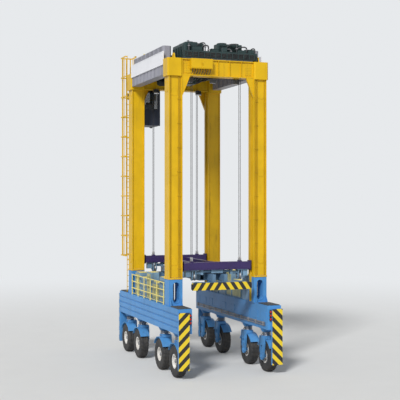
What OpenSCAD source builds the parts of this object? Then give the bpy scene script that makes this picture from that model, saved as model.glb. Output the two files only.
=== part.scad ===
// Straddle carrier, one over three, on eight steered wheels.
// +X is forward, +Y is the vehicle's left, +Z is up, millimetres.
// The origin is on the ground under the middle of the chassis.

/* [Chassis] */
// Length over the end bumpers
overall_l = 10200; // [10000:10:10800]
// Width over the chassis beams
overall_w = 5200; // [5150:10:5300]
// Width of one chassis beam
beam_w = 700; // [660:10:760]
// Height of one chassis beam
beam_h = 1150; // [1000:10:1200]
// Height of the beams' underside above the ground
beam_z = 2100; // [2050:10:2300]
// Depth of the end bumpers along the machine
bumper_d = 150; // [100:10:160]
// Width of a striped end panel
panel_w = 520; // [400:10:560]
// Height of the panels' lower edge above the ground
panel_z = 450; // [350:10:700]
// Height of a striped end panel
panel_h = 2650; // [2300:10:2700]
// Thickness of the striped plates
panel_t = 20; // [10:1:30]

/* [Legs] */
// Distance of a leg's middle from the machine's middle
leg_x = 3100; // [3000:10:3200]
// Leg section along the machine
leg_l = 660; // [600:10:700]
// Leg section across the machine
leg_w = 680; // [600:10:700]
// How far a leg's outer face stands inside the chassis beam's
leg_inset = 80; // [60:5:100]
// Height where the yellow leg starts on its pedestal
leg_z = 4500; // [4300:10:4700]
// How far a leg's side plates stand past its webs
web_inset = 60; // [30:5:80]
// Thickness of a leg's side plates
plate_t = 40; // [25:5:50]
// Width of a guide rail along the machine
rail_l = 100; // [80:5:120]
// Depth of a guide rail off the leg
rail_d = 90; // [60:5:110]

/* [Top frame] */
// Height of the top frame's upper side
top_z = 15000; // [14500:10:15500]
// Height of a cross beam
cross_h = 800; // [700:10:900]
// Width of a cross beam along the machine
cross_l = 600; // [500:10:640]
// Height of a side girder
girder_h = 700; // [600:10:780]
// Width of a side girder
girder_w = 480; // [400:10:600]
// Height of the blank sign panels
sign_h = 650; // [500:10:700]
// How far the sign panels rise over the top frame
sign_rise = 400; // [300:10:450]
// Thickness of the sign panels
sign_t = 50; // [30:5:80]
// Thickness of the top deck
deck_t = 50; // [40:5:80]
// Height of the guard rails
guard_h = 1100; // [1000:10:1200]
// Radius of the guard rails' tubes
tube_r = 24; // [18:1:30]

/* [Wheels] */
// Radius of a tyre
tyre_r = 750; // [720:5:780]
// Width of a tyre
tyre_w = 430; // [380:10:450]
// Radius of the rim's seat
seat_r = 318; // [300:1:330]
// Distance of the outer axles from the ends of the bumpers
axle_end = 1000; // [960:10:1050]
// Distance of the inner axles from the machine's middle
axle_in_x = 1850; // [1750:10:1950]
// Distance of a kingpin from the machine's middle plane
king_y = 2220; // [2200:5:2240]
// How far a wheel's middle stands outside its kingpin
wheel_out = 80; // [60:5:90]
// Radius of an axle stub
stub_r = 80; // [60:5:100]
// Running clearance between an axle stub and its hub
stub_gap = 0.05; // [0.02:0.01:0.1]
// Gap between the steering flange and its ring
turn_gap = 0.3; // [0.2:0.1:1]

/* [Spreader] */
// Height of the twistlocks' shoulder plane as parked
lock_z = 3980; // [3700:10:4100]
// Distance of an end beam's middle from the machine's middle as parked
lock_x = 3500; // [3450:10:3550]
// Half the distance between the twistlocks across
lock_y = 1129; // [1120:1:1140]
// Width of an end beam across the machine
end_w = 2760; // [2600:10:2800]
// Height of an end beam
end_h = 350; // [300:10:400]
// Depth of an end beam along the machine
end_l = 220; // [200:10:260]
// Height of a telescoping boom
boom_h = 300; // [240:10:320]
// Width of a telescoping boom
boom_w = 170; // [140:10:190]
// Length of a boom behind its end beam
boom_l = 5000; // [4400:50:5200]
// Height of a hoist beam
hoist_h = 350; // [300:10:400]
// Width of a hoist beam along the machine
hoist_l = 440; // [400:10:460]
// Height of the hoist beams' underside as parked
hoist_z = 4900; // [4850:10:5000]
// Radius of a hoist rope
rope_r = 14; // [10:1:20]

/* [Cab] */
// Length of the cab along the machine
cab_l = 1550; // [1400:10:1600]
// Width of the cab
cab_w = 1140; // [1000:10:1150]
// Height of the cab
cab_h = 2150; // [2000:10:2200]
// Height of the cab's underside
cab_z = 12320; // [12300:10:12400]
// Distance of the cab's right wall from the machine's middle plane
cab_y = 720; // [700:10:740]
// Thickness of the cab's walls
cab_t = 60; // [40:5:80]
// Thickness of the window glass
glass_t = 10; // [6:1:16]

/* [Hidden] */

yellow = "gold";
blue = "steelblue";
dark = "darkslategray";
steel = "dimgray";

half_l = overall_l / 2;
half_w = overall_w / 2;
axle_out_x = half_l - axle_end;
beam_top = beam_z + beam_h;
beam_in = half_w - beam_w;
leg_out = half_w - leg_inset;
leg_in = leg_out - leg_w;
leg_y = (leg_out + leg_in) / 2;
bay_x = leg_x - leg_l / 2;
panel_y = half_w - panel_w / 2;
king_top = beam_z - 80;

// One end of a leg pair: [sign along X, sign along Y]
corners = [[1, 1], [1, -1], [-1, 1], [-1, -1]];

// A box with chamfered upright edges, its middle at the origin, its base at z = 0
module chamfered_post(l, w, h, c) {
    linear_extrude(h)
        polygon([
            [-l / 2 + c, -w / 2], [l / 2 - c, -w / 2], [l / 2, -w / 2 + c],
            [l / 2, w / 2 - c], [l / 2 - c, w / 2], [-l / 2 + c, w / 2],
            [-l / 2, w / 2 - c], [-l / 2, -w / 2 + c],
        ]);
}

// A box between two corners
module block(low, high) {
    translate(low)
        cube(high - low);
}

// An outline in the Y-Z plane carried along X from x to x + l
module along_x(x, l) {
    translate([x, 0, 0])
        rotate([90, 0, 90])
            linear_extrude(l)
                children();
}

// An outline in the X-Z plane carried along Y from y to y + w
module along_y(y, w) {
    translate([0, y + w, 0])
        rotate([90, 0, 0])
            linear_extrude(w)
                children();
}

// A round bar along X, along Y and upright
module bar_x(x, y, z, l, r) {
    translate([x, y, z])
        rotate([0, 90, 0])
            cylinder(h = l, r = r, $fn = 16);
}

module bar_y(x, y, z, w, r) {
    translate([x, y + w, z])
        rotate([90, 0, 0])
            cylinder(h = w, r = r, $fn = 16);
}

module bar_z(x, y, z, h, r) {
    translate([x, y, z])
        cylinder(h = h, r = r, $fn = 16);
}

// A slot outline with round ends, upright, its middle at the origin
module slot(w, h) {
    square([w, h - w], center = true);
    for (s = [-1, 1])
        translate([0, s * (h - w) / 2])
            circle(d = w, $fn = 32);
}

// What is on the left, with its mirror image on the right
module both_sides() {
    children();
    mirror([0, 1, 0])
        children();
}

module all_corners() {
    for (c = corners)
        scale_to(c)
            children();
}

module scale_to(c) {
    mirror([c[0] < 0 ? 1 : 0, 0, 0])
        mirror([0, c[1] < 0 ? 1 : 0, 0])
            children();
}

// Chassis
groove_h = 70;
groove_d = 35;
groove_count = 3;
groove_pitch = beam_h / (groove_count + 1);

// Section of the left beam, with grooves along its outer side
module beam_section() {
    difference() {
        translate([beam_in, beam_z])
            square([beam_w, beam_h]);
        for (i = [1 : groove_count])
            translate([half_w - groove_d, beam_z + i * groove_pitch - groove_h / 2])
                square([groove_d + 1, groove_h]);
    }
}

pedestal_hole_w = 330;
pedestal_hole_h = 980;

// Section of a pedestal, open through along the machine
module pedestal_section() {
    difference() {
        translate([leg_in, beam_top - 1])
            square([leg_w, leg_z - beam_top + 1]);
        translate([leg_y - 20, (beam_top + leg_z) / 2])
            slot(pedestal_hole_w, pedestal_hole_h);
    }
}

ring_r = 290;

module chassis_side() {
    end_x = half_l - bumper_d - panel_t;
    along_x(-end_x, 2 * end_x)
        beam_section();
    for (x = [-leg_x, leg_x])
        along_x(x - leg_l / 2, leg_l)
            pedestal_section();
    for (x = [-axle_out_x, -axle_in_x, axle_in_x, axle_out_x])
        translate([x, king_y, king_top])
            cylinder(h = beam_z - king_top + 1, r = ring_r, $fn = 48);
    for (s = [-1, 1])
        translate([s * (half_l - panel_t - bumper_d / 2), panel_y, panel_z])
            chamfered_post(bumper_d, panel_w, panel_h, 20);
}

module chassis() {
    color(blue)
        both_sides()
            chassis_side();
}

// Railings on the beams between the pedestals
side_rail_h = 1050;
side_rail_posts = 6;
side_rail_inset = 60;

module side_rail() {
    y = half_w - side_rail_inset;
    l = 2 * bay_x - 2 * tube_r;
    for (i = [0 : side_rail_posts - 1])
        bar_z(-l / 2 + 60 + i * (l - 120) / (side_rail_posts - 1), y, beam_top, side_rail_h, tube_r);
    for (h = [side_rail_h / 3, side_rail_h * 2 / 3, side_rail_h])
        bar_x(-l / 2, y, beam_top + h, l, tube_r);
}

module side_rails() {
    color("khaki")
        both_sides()
            side_rail();
}

// Tanks and cabinets on the beams, in a row from the rear
pack_start = 2550;
pack_gap = 100;
pack_inset = 60;
pack_chamfer = 30;
wide_pack_w = 460;
slim_pack_w = 420;
oil_pack_l = 900;
oil_pack_h = 1250;
drive_pack_l = 1200;
drive_pack_h = 900;
air_pack_l = 700;
air_pack_h = 1350;
valve_pack_l = 1000;
valve_pack_h = 1000;
brake_pack_l = 850;
brake_pack_h = 1200;

module side_pack_row() {
    y = beam_in + pack_inset;
    // length, width, height
    packs = [
        [oil_pack_l, wide_pack_w, oil_pack_h],
        [drive_pack_l, slim_pack_w, drive_pack_h],
        [air_pack_l, wide_pack_w, air_pack_h],
        [valve_pack_l, slim_pack_w, valve_pack_h],
        [brake_pack_l, wide_pack_w, brake_pack_h],
    ];
    starts = [for (i = 0, x = -pack_start; i < len(packs); x = x + packs[i][0] + pack_gap, i = i + 1) x];
    for (i = [0 : len(packs) - 1])
        let (p = packs[i])
            translate([starts[i] + p[0] / 2, y + p[1] / 2, beam_top])
                chamfered_post(p[0], p[1], p[2], pack_chamfer);
}

module side_packs() {
    color("slategray")
        both_sides()
            side_pack_row();
}

// Striped plates on the end bumpers
module hazard_panels() {
    color("goldenrod")
        all_corners()
            block([half_l - panel_t, panel_y - panel_w / 2, panel_z],
                [half_l, panel_y + panel_w / 2, panel_z + panel_h]);
}

// Legs
base_t = 60;
base_out = 25;
block_h = 850;
block_l = 760;
block_w = 740;
block_chamfer = 60;
lug_t = 60;
lug_r = 130;
lug_hole_r = 45;
lug_rise = 150;

// Box section with its outer and inner plates standing past the webs
module leg_section() {
    square([leg_l - 2 * web_inset, leg_w - 1], center = true);
    for (s = [-1, 1])
        translate([0, s * (leg_w - plate_t) / 2])
            square([leg_l, plate_t], center = true);
}

module leg() {
    translate([leg_x, leg_y, leg_z])
        linear_extrude(top_z - leg_z)
            leg_section();
    translate([leg_x, leg_y + base_out / 2, leg_z])
        chamfered_post(leg_l + 2 * base_out, leg_w + base_out, base_t, 20);
    translate([leg_x, half_w - block_w / 2, top_z - block_h])
        chamfered_post(block_l, block_w, block_h, block_chamfer);
    lug();
}

// Lifting lug on the corner block, its hole across the machine
module lug() {
    difference() {
        along_y(leg_y - lug_t / 2, lug_t)
            translate([leg_x, top_z]) {
                polygon([[-lug_r * 1.6, 0], [lug_r * 1.6, 0], [lug_r, lug_rise], [-lug_r, lug_rise]]);
                translate([0, lug_rise])
                    circle(r = lug_r, $fn = 48);
            }
        bar_y(leg_x, leg_y - lug_t, top_z + lug_rise, 2 * lug_t, lug_hole_r);
    }
}

module legs() {
    color(yellow)
        all_corners()
            leg();
}

rail_z = beam_top + 50;
rail_top = top_z - cross_h;

module guide_rails() {
    color("darkgoldenrod")
        all_corners()
            block([leg_x - rail_l / 2, leg_in - rail_d, rail_z],
                [leg_x + rail_l / 2, leg_in, rail_top]);
}

// Cross beams with their corner gussets
gusset_t = 50;
gusset_h = 950;
gusset_w = 380;
cross_y = leg_in;

lip = 70;
lip_t = 40;
box_y = [350, 1450];
box_h = 480;
box_d = 180;

module cross_beam() {
    block([leg_x - cross_l / 2 + lip, -cross_y, top_z - cross_h],
        [leg_x + cross_l / 2 - lip, cross_y, top_z]);
    for (z = [top_z - cross_h, top_z - lip_t])
        block([leg_x - cross_l / 2, -cross_y, z], [leg_x + cross_l / 2, cross_y, z + lip_t]);
    both_sides()
        along_x(leg_x + leg_l / 2 - plate_t - gusset_t, gusset_t)
            polygon([
                [leg_in, top_z - cross_h + 1], [leg_in, top_z - cross_h - gusset_h],
                [leg_in - gusset_w, top_z - cross_h + 1],
            ]);
    // web stiffeners
    for (y = [-1200 : 600 : 1200])
        for (s = [-1, 1])
            block([leg_x + s * (cross_l / 2 - lip / 2 - 5) - lip / 2, y - 10, top_z - cross_h + 1],
                [leg_x + s * (cross_l / 2 - lip / 2 - 5) + lip / 2, y + 10, top_z - 1]);
}

module cross_beams() {
    color(yellow) {
        for (m = [0, 1])
            mirror([m, 0, 0])
                cross_beam();
        // junction box on the rear beam
        block([-leg_x - cross_l / 2 - box_d, box_y[0], top_z - box_h],
            [-leg_x - cross_l / 2 + lip + 1, box_y[1], top_z]);
    }
}

// Side girders between the legs' corner blocks
girder_out = half_w - sign_t - 10;
girder_x = leg_x - block_l / 2;
cowl_h = 700;

module side_girder() {
    block([-girder_x, girder_out - girder_w, top_z - girder_h],
        [girder_x, girder_out, top_z]);
    translate([0, girder_out - girder_w / 2, top_z])
        chamfered_post(2 * girder_x - 400, girder_w - 60, cowl_h, 80);
}

module side_girders() {
    color("gray")
        both_sides()
            side_girder();
}

module sign_panels() {
    color("white")
        both_sides()
            block([-girder_x, girder_out, top_z + sign_rise - sign_h],
                [girder_x, girder_out + sign_t, top_z + sign_rise]);
}

// Deck plate on the cross beams, with slots for the ropes
deck_y = girder_out - girder_w;
deck_x = leg_x + cross_l / 2;
rope_x = leg_x - 60;
rope_y = 1250;
rope_dx = 90;

module top_deck() {
    color(steel)
        difference() {
            block([-deck_x, -deck_y, top_z], [deck_x, deck_y, top_z + deck_t]);
            all_corners()
                translate([leg_x, half_w - block_w + 60, top_z - 1])
                    chamfered_post(block_l + 20, 2 * 130, deck_t + 2, 10);
        }
}

deck_top = top_z + deck_t;

// Guard rails along the front and rear of the deck
module deck_rail(x) {
    w = 2 * (cross_y - 150);
    posts = 5;
    for (i = [0 : posts - 1])
        bar_z(x, -w / 2 + i * w / (posts - 1), deck_top, guard_h, tube_r);
    for (h = [guard_h / 2, guard_h])
        bar_y(x, -w / 2 - tube_r, deck_top + h, w + 2 * tube_r, tube_r);
}

module deck_rails() {
    color("olive")
        deck_rail(deck_x - 60);
}

// Machinery on the deck
engine_l = 1750;
engine_w = 1050;
engine_h = 780;
engine_y = 1080;
engine_x = [-2080, -1150];
hood_w = 620;
hood_h = 110;
rib_t = 24;

// A housing with a raised hood and door ribs, its base at the origin
module housing(l, w, h) {
    chamfered_post(l, w, h, 90);
    translate([0, 0, h - 1])
        chamfered_post(l * 0.6, w * 0.6, hood_h + 1, 60);
    for (i = [-2 : 2])
        translate([i * (l - 300) / 4, 0, h * 0.5])
            cube([rib_t * 2, w + 2 * rib_t, h * 0.7], center = true);
}

module engine_housings() {
    color(dark) {
        translate([engine_x[0], engine_y, deck_top])
            housing(engine_l, engine_w, engine_h);
        translate([engine_x[1], -engine_y, deck_top])
            housing(engine_l, engine_w, engine_h);
    }
}

// Cooler with two fans on its top, along the rear edge
cooler_x = -2620;
cooler_y = -800;
cooler_l = 560;
cooler_w = 1300;
cooler_h = 820;
fan_r = 235;
fan_h = 60;

module cooler() {
    chamfered_post(cooler_l, cooler_w, cooler_h, 50);
    for (s = [-1, 1])
        translate([0, s * cooler_w / 4, cooler_h - 1])
            difference() {
                cylinder(h = fan_h + 1, r = fan_r, $fn = 48);
                translate([0, 0, 11])
                    cylinder(h = fan_h, r = fan_r - 30, $fn = 48);
            }
}

module cooler_pack() {
    color(dark) {
        translate([cooler_x, cooler_y, deck_top])
            cooler();
        oil_tank();
    }
}

// Tank and cable tray along the rear edge
tank_r = 260;
tank_l = 520;
tank_x = -2640;
tank_y = -1730;
tray_h = 360;
tray_l = 300;
tray_x = -3230;
tray_y = [-2040, 1750];

module rear_tray() {
    block([tray_x - tray_l / 2, tray_y[0], deck_top], [tray_x + tray_l / 2, tray_y[1], deck_top + tray_h]);
    // boxes on the tray
    for (b = [[-1750, 300, 170], [-1250, 420, 120], [-350, 260, 230], [150, 380, 120], [1050, 500, 200]])
        translate([tray_x, b[0], deck_top + tray_h - 1])
            chamfered_post(tray_l - 60, b[1], b[2], 20);
}

module oil_tank() {
    bar_y(tank_x, tank_y - tank_l / 2, deck_top + tank_r + 60, tank_l, tank_r);
    for (s = [-1, 1])
        block([tank_x - tank_r, tank_y + s * tank_l / 4 - 30, deck_top],
            [tank_x + tank_r, tank_y + s * tank_l / 4 + 30, deck_top + tank_r]);
    // filler neck
    bar_z(tank_x, tank_y, deck_top + 2 * tank_r + 30, 90, 70);
}

// Hoist winches: bearing stands, drum with its flanges, gearbox
drum_r = 270;
drum_half = 800;
winch_x = [500, 1700];
stand_h = 640;
winch_z = 340;

module hoist_winches() {
    color(dark)
        for (x = winch_x) {
            bar_y(x, -drum_half - 50, deck_top + winch_z, 2 * drum_half + 100, drum_r);
            for (y = [-drum_half, -30, drum_half - 60])
                translate([x, y + 60, deck_top + winch_z])
                    rotate([90, 0, 0])
                        cylinder(h = 60, r = drum_r + 50, $fn = 48);
            for (s = [-1, 1])
                along_y(s * (drum_half + 130) - 90, 180)
                    polygon([
                        [x - 300, deck_top], [x + 300, deck_top], [x + 200, deck_top + stand_h],
                        [x - 200, deck_top + stand_h],
                    ]);
            bar_y(x, drum_half + 219, deck_top + winch_z, 300, 190);
        }
}

// Machinery hung under the deck between the cross beams: bearers, rope drums, pump boxes
bearer_end = leg_x - cross_l / 2 - 20;
bearer_w = 160;
bearer_h = 400;
bearer_y = [250, 1350, -950];
pulley_r = 250;
pulley_x = [-2000, 1900];
pump_h = 950;

module under_gear() {
    color(dark) {
        for (y = bearer_y)
            block([-bearer_end, y - bearer_w / 2, top_z - bearer_h], [bearer_end, y + bearer_w / 2, top_z]);
        // drums between the two left bearers
        for (x = pulley_x) {
            bar_y(x, bearer_y[0], top_z - 430, bearer_y[1] - bearer_y[0], pulley_r);
            bar_y(x, bearer_y[0] - 200, top_z - 430, 201, pulley_r - 60);
        }
        // pump boxes and their motors
        for (p = [[-950, 900, 780, pump_h], [800, 1100, 700, pump_h - 150]]) {
            translate([p[0], (bearer_y[0] + bearer_y[1]) / 2, top_z - p[3]])
                chamfered_post(p[1], p[2], p[3], 60);
            bar_x(p[0] + p[1] / 2 - 1, 650, top_z - 600, 420, 150);
            bar_x(p[0] + p[1] / 2 - 1, 1000, top_z - 540, 350, 110);
        }
        // boxes on the right bearer
        for (p = [[-1500, 700, 520], [300, 900, 460]])
            translate([p[0], bearer_y[2], top_z - p[2]])
                chamfered_post(p[1], 360, p[2], 40);
    }
}

cabinet_x = 2720;
cabinet_y = 700;
cabinet_l = 640;
cabinet_w = 900;
cabinet_h = 950;

module switch_cabinet() {
    chamfered_post(cabinet_l, cabinet_w, cabinet_h, 20);
    translate([0, 0, cabinet_h - 1])
        chamfered_post(cabinet_l + 60, cabinet_w + 60, 31, 20);
    for (y = [-1, 0, 1])
        translate([0, y * cabinet_w / 3, cabinet_h / 2])
            cube([cabinet_l + 30, cabinet_w / 3 - 30, cabinet_h - 160], center = true);
}

module switch_cabinets() {
    color(dark) {
        for (s = [-1, 1])
            translate([cabinet_x, s * cabinet_y, deck_top])
                switch_cabinet();
        rear_tray();
    }
}

// Silencers and stacks beside the housings
stack_r = 70;
silencer_r = 150;
silencer_l = 760;

module exhausts() {
    color(steel)
        for (s = [0, 1]) {
            x = engine_x[s] + engine_l / 2 + 60 + silencer_r;
            y = (1 - 2 * s) * engine_y;
            bar_z(x, y, deck_top, silencer_l, silencer_r);
            bar_z(x, y, deck_top + silencer_l - 1, 241, stack_r);
        }
}

// Floodlights under the top frame: body, cooling fins, foot on the beam
lamp_l = 90;
lamp_w = 320;
lamp_h = 220;
lamp_drop = 90;
lamp_lean = 25;
lamp_ys = [-1200, 0, 1200];

module lamp() {
    // foot on the lip of the cross beam
    block([-130, -40, -lamp_drop], [0, 40, 40]);
    translate([-130, 0, -lamp_drop - 20])
        rotate([0, lamp_lean, 0]) {
            cube([lamp_l, lamp_w, lamp_h], center = true);
            for (y = [-2 : 2])
                translate([0, y * 60, 0])
                    cube([lamp_l + 60, 14, lamp_h - 40], center = true);
        }
}

module lamps() {
    color("lightgray")
        for (m = [0, 1])
            mirror([m, 0, 0])
                for (y = lamp_ys)
                    translate([leg_x - cross_l / 2, y, top_z - cross_h])
                        lamp();
}

// Hoist ropes from the winch deck to the hoist beams
module hoist_ropes() {
    color("black")
        all_corners()
            for (d = [-1, 1])
                bar_z(rope_x + d * rope_dx, rope_y, hoist_z + hoist_h + 60.3,
                    top_z - cross_h - hoist_z - hoist_h - 60.3, rope_r);
}

// Ladder on the front left leg
cage_l = 900;
cage_w = 640;
ladder_x = leg_x + block_l / 2 + 330;
ladder_w = 440;
ladder_y = leg_out - plate_t / 2 - ladder_w / 2;
ladder_z = beam_top;
rung_pitch = 300;
rung_r = 16;
stile_w = 60;
stile_t = 20;
cage_z = leg_z + 700;
hoop_t = 60;
hoop_d = 12;

module ladder() {
    top = top_z + guard_h;
    rungs = floor((top_z - ladder_z) / rung_pitch);
    color(yellow) {
        for (s = [-1, 1])
            block([ladder_x - stile_w / 2, ladder_y + s * ladder_w / 2 - stile_t / 2, ladder_z],
                [ladder_x + stile_w / 2, ladder_y + s * ladder_w / 2 + stile_t / 2, top]);
        for (i = [1 : rungs])
            bar_y(ladder_x, ladder_y - ladder_w / 2, ladder_z + i * rung_pitch, ladder_w, rung_r);
    }
}

// Arms that hold the stiles off the leg and off its corner block
bracket_h = 60;
bracket_pitch = 2200;
bracket_t = 24;
bracket_low = 500;
bracket_high = 100;
block_bracket_drop = 300;

// One pair of arms, each from its own face of the leg or block
module bracket_pair(faces, z) {
    for (i = [0, 1]) {
        y = ladder_y + (2 * i - 1) * ladder_w / 2;
        block([faces[i], y - bracket_t / 2, z], [ladder_x - stile_w / 2, y + bracket_t / 2, z + bracket_h]);
    }
}

module ladder_brackets() {
    color(yellow) {
        for (z = [leg_z + bracket_low : bracket_pitch : top_z - block_h - bracket_high])
            bracket_pair([leg_x + leg_l / 2 - web_inset, leg_x + leg_l / 2], z);
        bracket_pair([leg_x + block_l / 2, leg_x + block_l / 2], top_z - block_bracket_drop);
    }
}

// Plan of a hoop, bolted on the front faces of the stiles; by the cab door its right side is left out
module cage_outline(open_side) {
    x = ladder_x + stile_w / 2;
    difference() {
        translate([x, ladder_y - cage_w / 2])
            square([cage_l, cage_w]);
        translate([x + hoop_d, ladder_y - cage_w / 2 + hoop_d])
            square([cage_l - 2 * hoop_d, cage_w - 2 * hoop_d]);
        translate([x - 1, ladder_y - ladder_w / 2 + stile_t / 2])
            square([hoop_d + 2, ladder_w - stile_t]);
        if (open_side)
            translate([x - 1, ladder_y - cage_w / 2 - 1])
                square([cage_l - hoop_d + 1, cage_w / 4]);
    }
}

cage_front = ladder_x + stile_w / 2 + cage_l;
cage_h = top_z + guard_h - cage_z;
cage_hoops = 11;
hoop_pitch = (cage_h - hoop_t) / (cage_hoops - 1);
strap_w = 60;
strap_pitch = 220;
// Hoops under and over the way to the cab door
way_low = floor((cab_z - cage_z) / hoop_pitch);
way_high = ceil((cab_z + cab_h - cage_z) / hoop_pitch);

module ladder_cage() {
    color(yellow)
        for (i = [0 : cage_hoops - 1])
            translate([0, 0, cage_z + i * hoop_pitch])
                linear_extrude(hoop_t)
                    cage_outline(i > way_low && i < way_high);
}

// Upright straps inside the hoops
module cage_straps() {
    way_z = cage_z + way_low * hoop_pitch + hoop_t;
    way_top = cage_z + way_high * hoop_pitch;
    color(yellow) {
        for (s = [-1, 0, 1])
            block([cage_front - 2 * hoop_d, ladder_y + s * strap_pitch - strap_w / 2, cage_z],
                [cage_front - hoop_d, ladder_y + s * strap_pitch + strap_w / 2, cage_z + cage_h]);
        for (i = [1 : 3]) {
            x = cage_front - i * strap_pitch;
            left = ladder_y + cage_w / 2 - hoop_d;
            right = ladder_y - cage_w / 2 + hoop_d;
            block([x - strap_w / 2, left - hoop_d, cage_z], [x + strap_w / 2, left, cage_z + cage_h]);
            block([x - strap_w / 2, right, cage_z], [x + strap_w / 2, right + hoop_d, way_z]);
            block([x - strap_w / 2, right, way_top], [x + strap_w / 2, right + hoop_d, cage_z + cage_h]);
        }
    }
}

// Cab hung in front of the front cross beam
cab_x = leg_x + leg_l / 2 + 80;
cab_front = cab_x + cab_l;
cab_left = cab_y + cab_w;
cab_floor_t = 80;
cab_roof_t = 80;
cab_nose = 260;
door_x = cab_x + 90;
door_l = 640;
door_t = 30;
door_z = cab_z + cab_floor_t + 60;
door_h = 1800;
door_gap = 6;
door_travel = 600;
runner_h = 40;
runner_gap = 0.3;

// Side outline of the cab, raked in at the foot of its front
module cab_outline() {
    polygon([
        [cab_x, cab_z], [cab_front - cab_nose, cab_z], [cab_front, cab_z + 700],
        [cab_front - 60, cab_z + cab_h], [cab_x, cab_z + cab_h],
    ]);
}

module cab_frame() {
    color("midnightblue")
        difference() {
            intersection() {
                along_y(cab_y, cab_w)
                    cab_outline();
                block([cab_x - 10, cab_y - 10, cab_z + cab_floor_t],
                    [cab_front + 10, cab_left + 10, cab_z + cab_h - cab_roof_t]);
            }
            // inside
            intersection() {
                along_y(cab_y + cab_t, cab_w - 2 * cab_t)
                    cab_inner();
                block([cab_x, cab_y, cab_z], [cab_front, cab_left, cab_z + cab_h]);
            }
            // rear window
            block([cab_x - 1, cab_y + 140, cab_z + 900],
                [cab_x + cab_t + 1, cab_left - 140, cab_z + cab_h - 180]);
            // front window, through the whole front
            block([cab_front - 420, cab_y + 100, cab_z + 140],
                [cab_front + 1, cab_left - 100, cab_z + cab_h - 180]);
            // right window
            block([cab_x + 140, cab_y - 1, cab_z + 500],
                [cab_front - 480, cab_y + cab_t + 1, cab_z + cab_h - 180]);
            // doorway on the left
            block([door_x + 30, cab_left - cab_t - 1, door_z + 30],
                [door_x + door_l - 30, cab_left + 1, door_z + door_h - 30]);
            // left front window
            block([door_x + door_l + 60, cab_left - cab_t - 1, cab_z + 900],
                [cab_front - 480, cab_left + 1, cab_z + cab_h - 180]);
        }
    // runners of the sliding door
    color("midnightblue")
        for (z = [door_z - runner_gap - runner_h, door_z + door_h + runner_gap])
            block([door_x, cab_left - 1, z],
                [door_x + door_l + door_travel + 10, cab_left + door_gap + door_t + 4, z + runner_h]);
}

module cab_inner() {
    polygon([
        [cab_x + cab_t, cab_z], [cab_front - cab_nose - cab_t, cab_z],
        [cab_front - cab_t, cab_z + 700], [cab_front - 60 - cab_t, cab_z + cab_h],
        [cab_x + cab_t, cab_z + cab_h],
    ]);
}

module cab_floor() {
    color("midnightblue") {
        intersection() {
            along_y(cab_y, cab_w)
                cab_outline();
            block([cab_x, cab_y, cab_z], [cab_front, cab_left, cab_z + cab_floor_t]);
        }
    }
}

module cab_roof() {
    color("midnightblue") {
        intersection() {
            along_y(cab_y, cab_w)
                cab_outline();
            block([cab_x, cab_y, cab_z + cab_h - cab_roof_t],
                [cab_front, cab_left, cab_z + cab_h]);
        }
        // hangers to the cross beam
        for (y = [cab_y + 150, cab_left - 270])
            block([leg_x + cross_l / 2 - lip, y, cab_z + cab_h],
                [cab_x + 700, y + 120, cab_z + cab_h + 160]);
    }
}

// Front of the cab at a height over its underside
function front_x(h) = h < 700 ? cab_front - cab_nose * (700 - h) / 700
    : cab_front - 60 * (h - 700) / (cab_h - 700);

pane_in = 20;

// Bent pane in the front window
module front_pane() {
    heights = [140, 700, cab_h - 180];
    along_y(cab_y + 100, cab_w - 200)
        polygon(concat(
            [for (h = heights) [front_x(h) - pane_in, cab_z + h]],
            [for (i = [2 : -1 : 0]) [front_x(heights[i]) - pane_in - glass_t, cab_z + heights[i]]]));
}

module cab_glass() {
    color("black") {
        front_pane();
        block([cab_x + 20, cab_y + 140, cab_z + 900],
            [cab_x + 20 + glass_t, cab_left - 140, cab_z + cab_h - 180]);
        block([cab_x + 140, cab_y + 20, cab_z + 500],
            [cab_front - 480, cab_y + 20 + glass_t, cab_z + cab_h - 180]);
        block([door_x + door_l + 60, cab_left - 20 - glass_t, cab_z + 900],
            [cab_front - 480, cab_left - 20, cab_z + cab_h - 180]);
    }
}

seat_x = cab_x + 300;
seat_y = cab_y + cab_w / 2;
seat_w = 500;
seat_z = cab_z + cab_floor_t + 420;
arm_w = 70;

module cab_seat() {
    color("black") {
        // cushion and raked back
        along_y(seat_y - seat_w / 2, seat_w)
            polygon([
                [seat_x + 60, seat_z], [seat_x + 520, seat_z], [seat_x + 560, seat_z + 50],
                [seat_x + 530, seat_z + 110], [seat_x + 180, seat_z + 90], [seat_x + 120, seat_z + 640],
                [seat_x + 60, seat_z + 680], [seat_x, seat_z + 640],
            ]);
        along_y(seat_y - seat_w / 4, seat_w / 2)
            polygon([
                [seat_x + 10, seat_z + 660], [seat_x + 100, seat_z + 660],
                [seat_x + 90, seat_z + 780], [seat_x + 20, seat_z + 780],
            ]);
        // arm rests on the back
        for (s = [-1, 1])
            block([seat_x + 60, seat_y + s * (seat_w + arm_w) / 2 - arm_w / 2 - 1, seat_z + 250],
                [seat_x + 420, seat_y + s * (seat_w + arm_w) / 2 + arm_w / 2 + 1, seat_z + 300]);
        bar_z(seat_x + 300, seat_y, cab_z + cab_floor_t, seat_z - cab_z - cab_floor_t + 1, 90);
    }
}

// Side consoles with sloped tops
module cab_console() {
    color("gray")
        for (y = [cab_y + 80, cab_left - 240])
            along_y(y, 160)
                polygon([
                    [seat_x + 380, cab_z + cab_floor_t], [seat_x + 640, cab_z + cab_floor_t],
                    [seat_x + 720, cab_z + 620], [seat_x + 700, cab_z + 700],
                    [seat_x + 420, cab_z + 800], [seat_x + 360, cab_z + 760],
                ]);
}

module cab_door() {
    y = cab_left + door_gap;
    color("midnightblue")
        difference() {
            block([door_x, y, door_z], [door_x + door_l, y + door_t, door_z + door_h]);
            block([door_x + 90, y - 1, door_z + 700],
                [door_x + door_l - 90, y + door_t + 1, door_z + door_h - 90]);
        }
}

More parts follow.
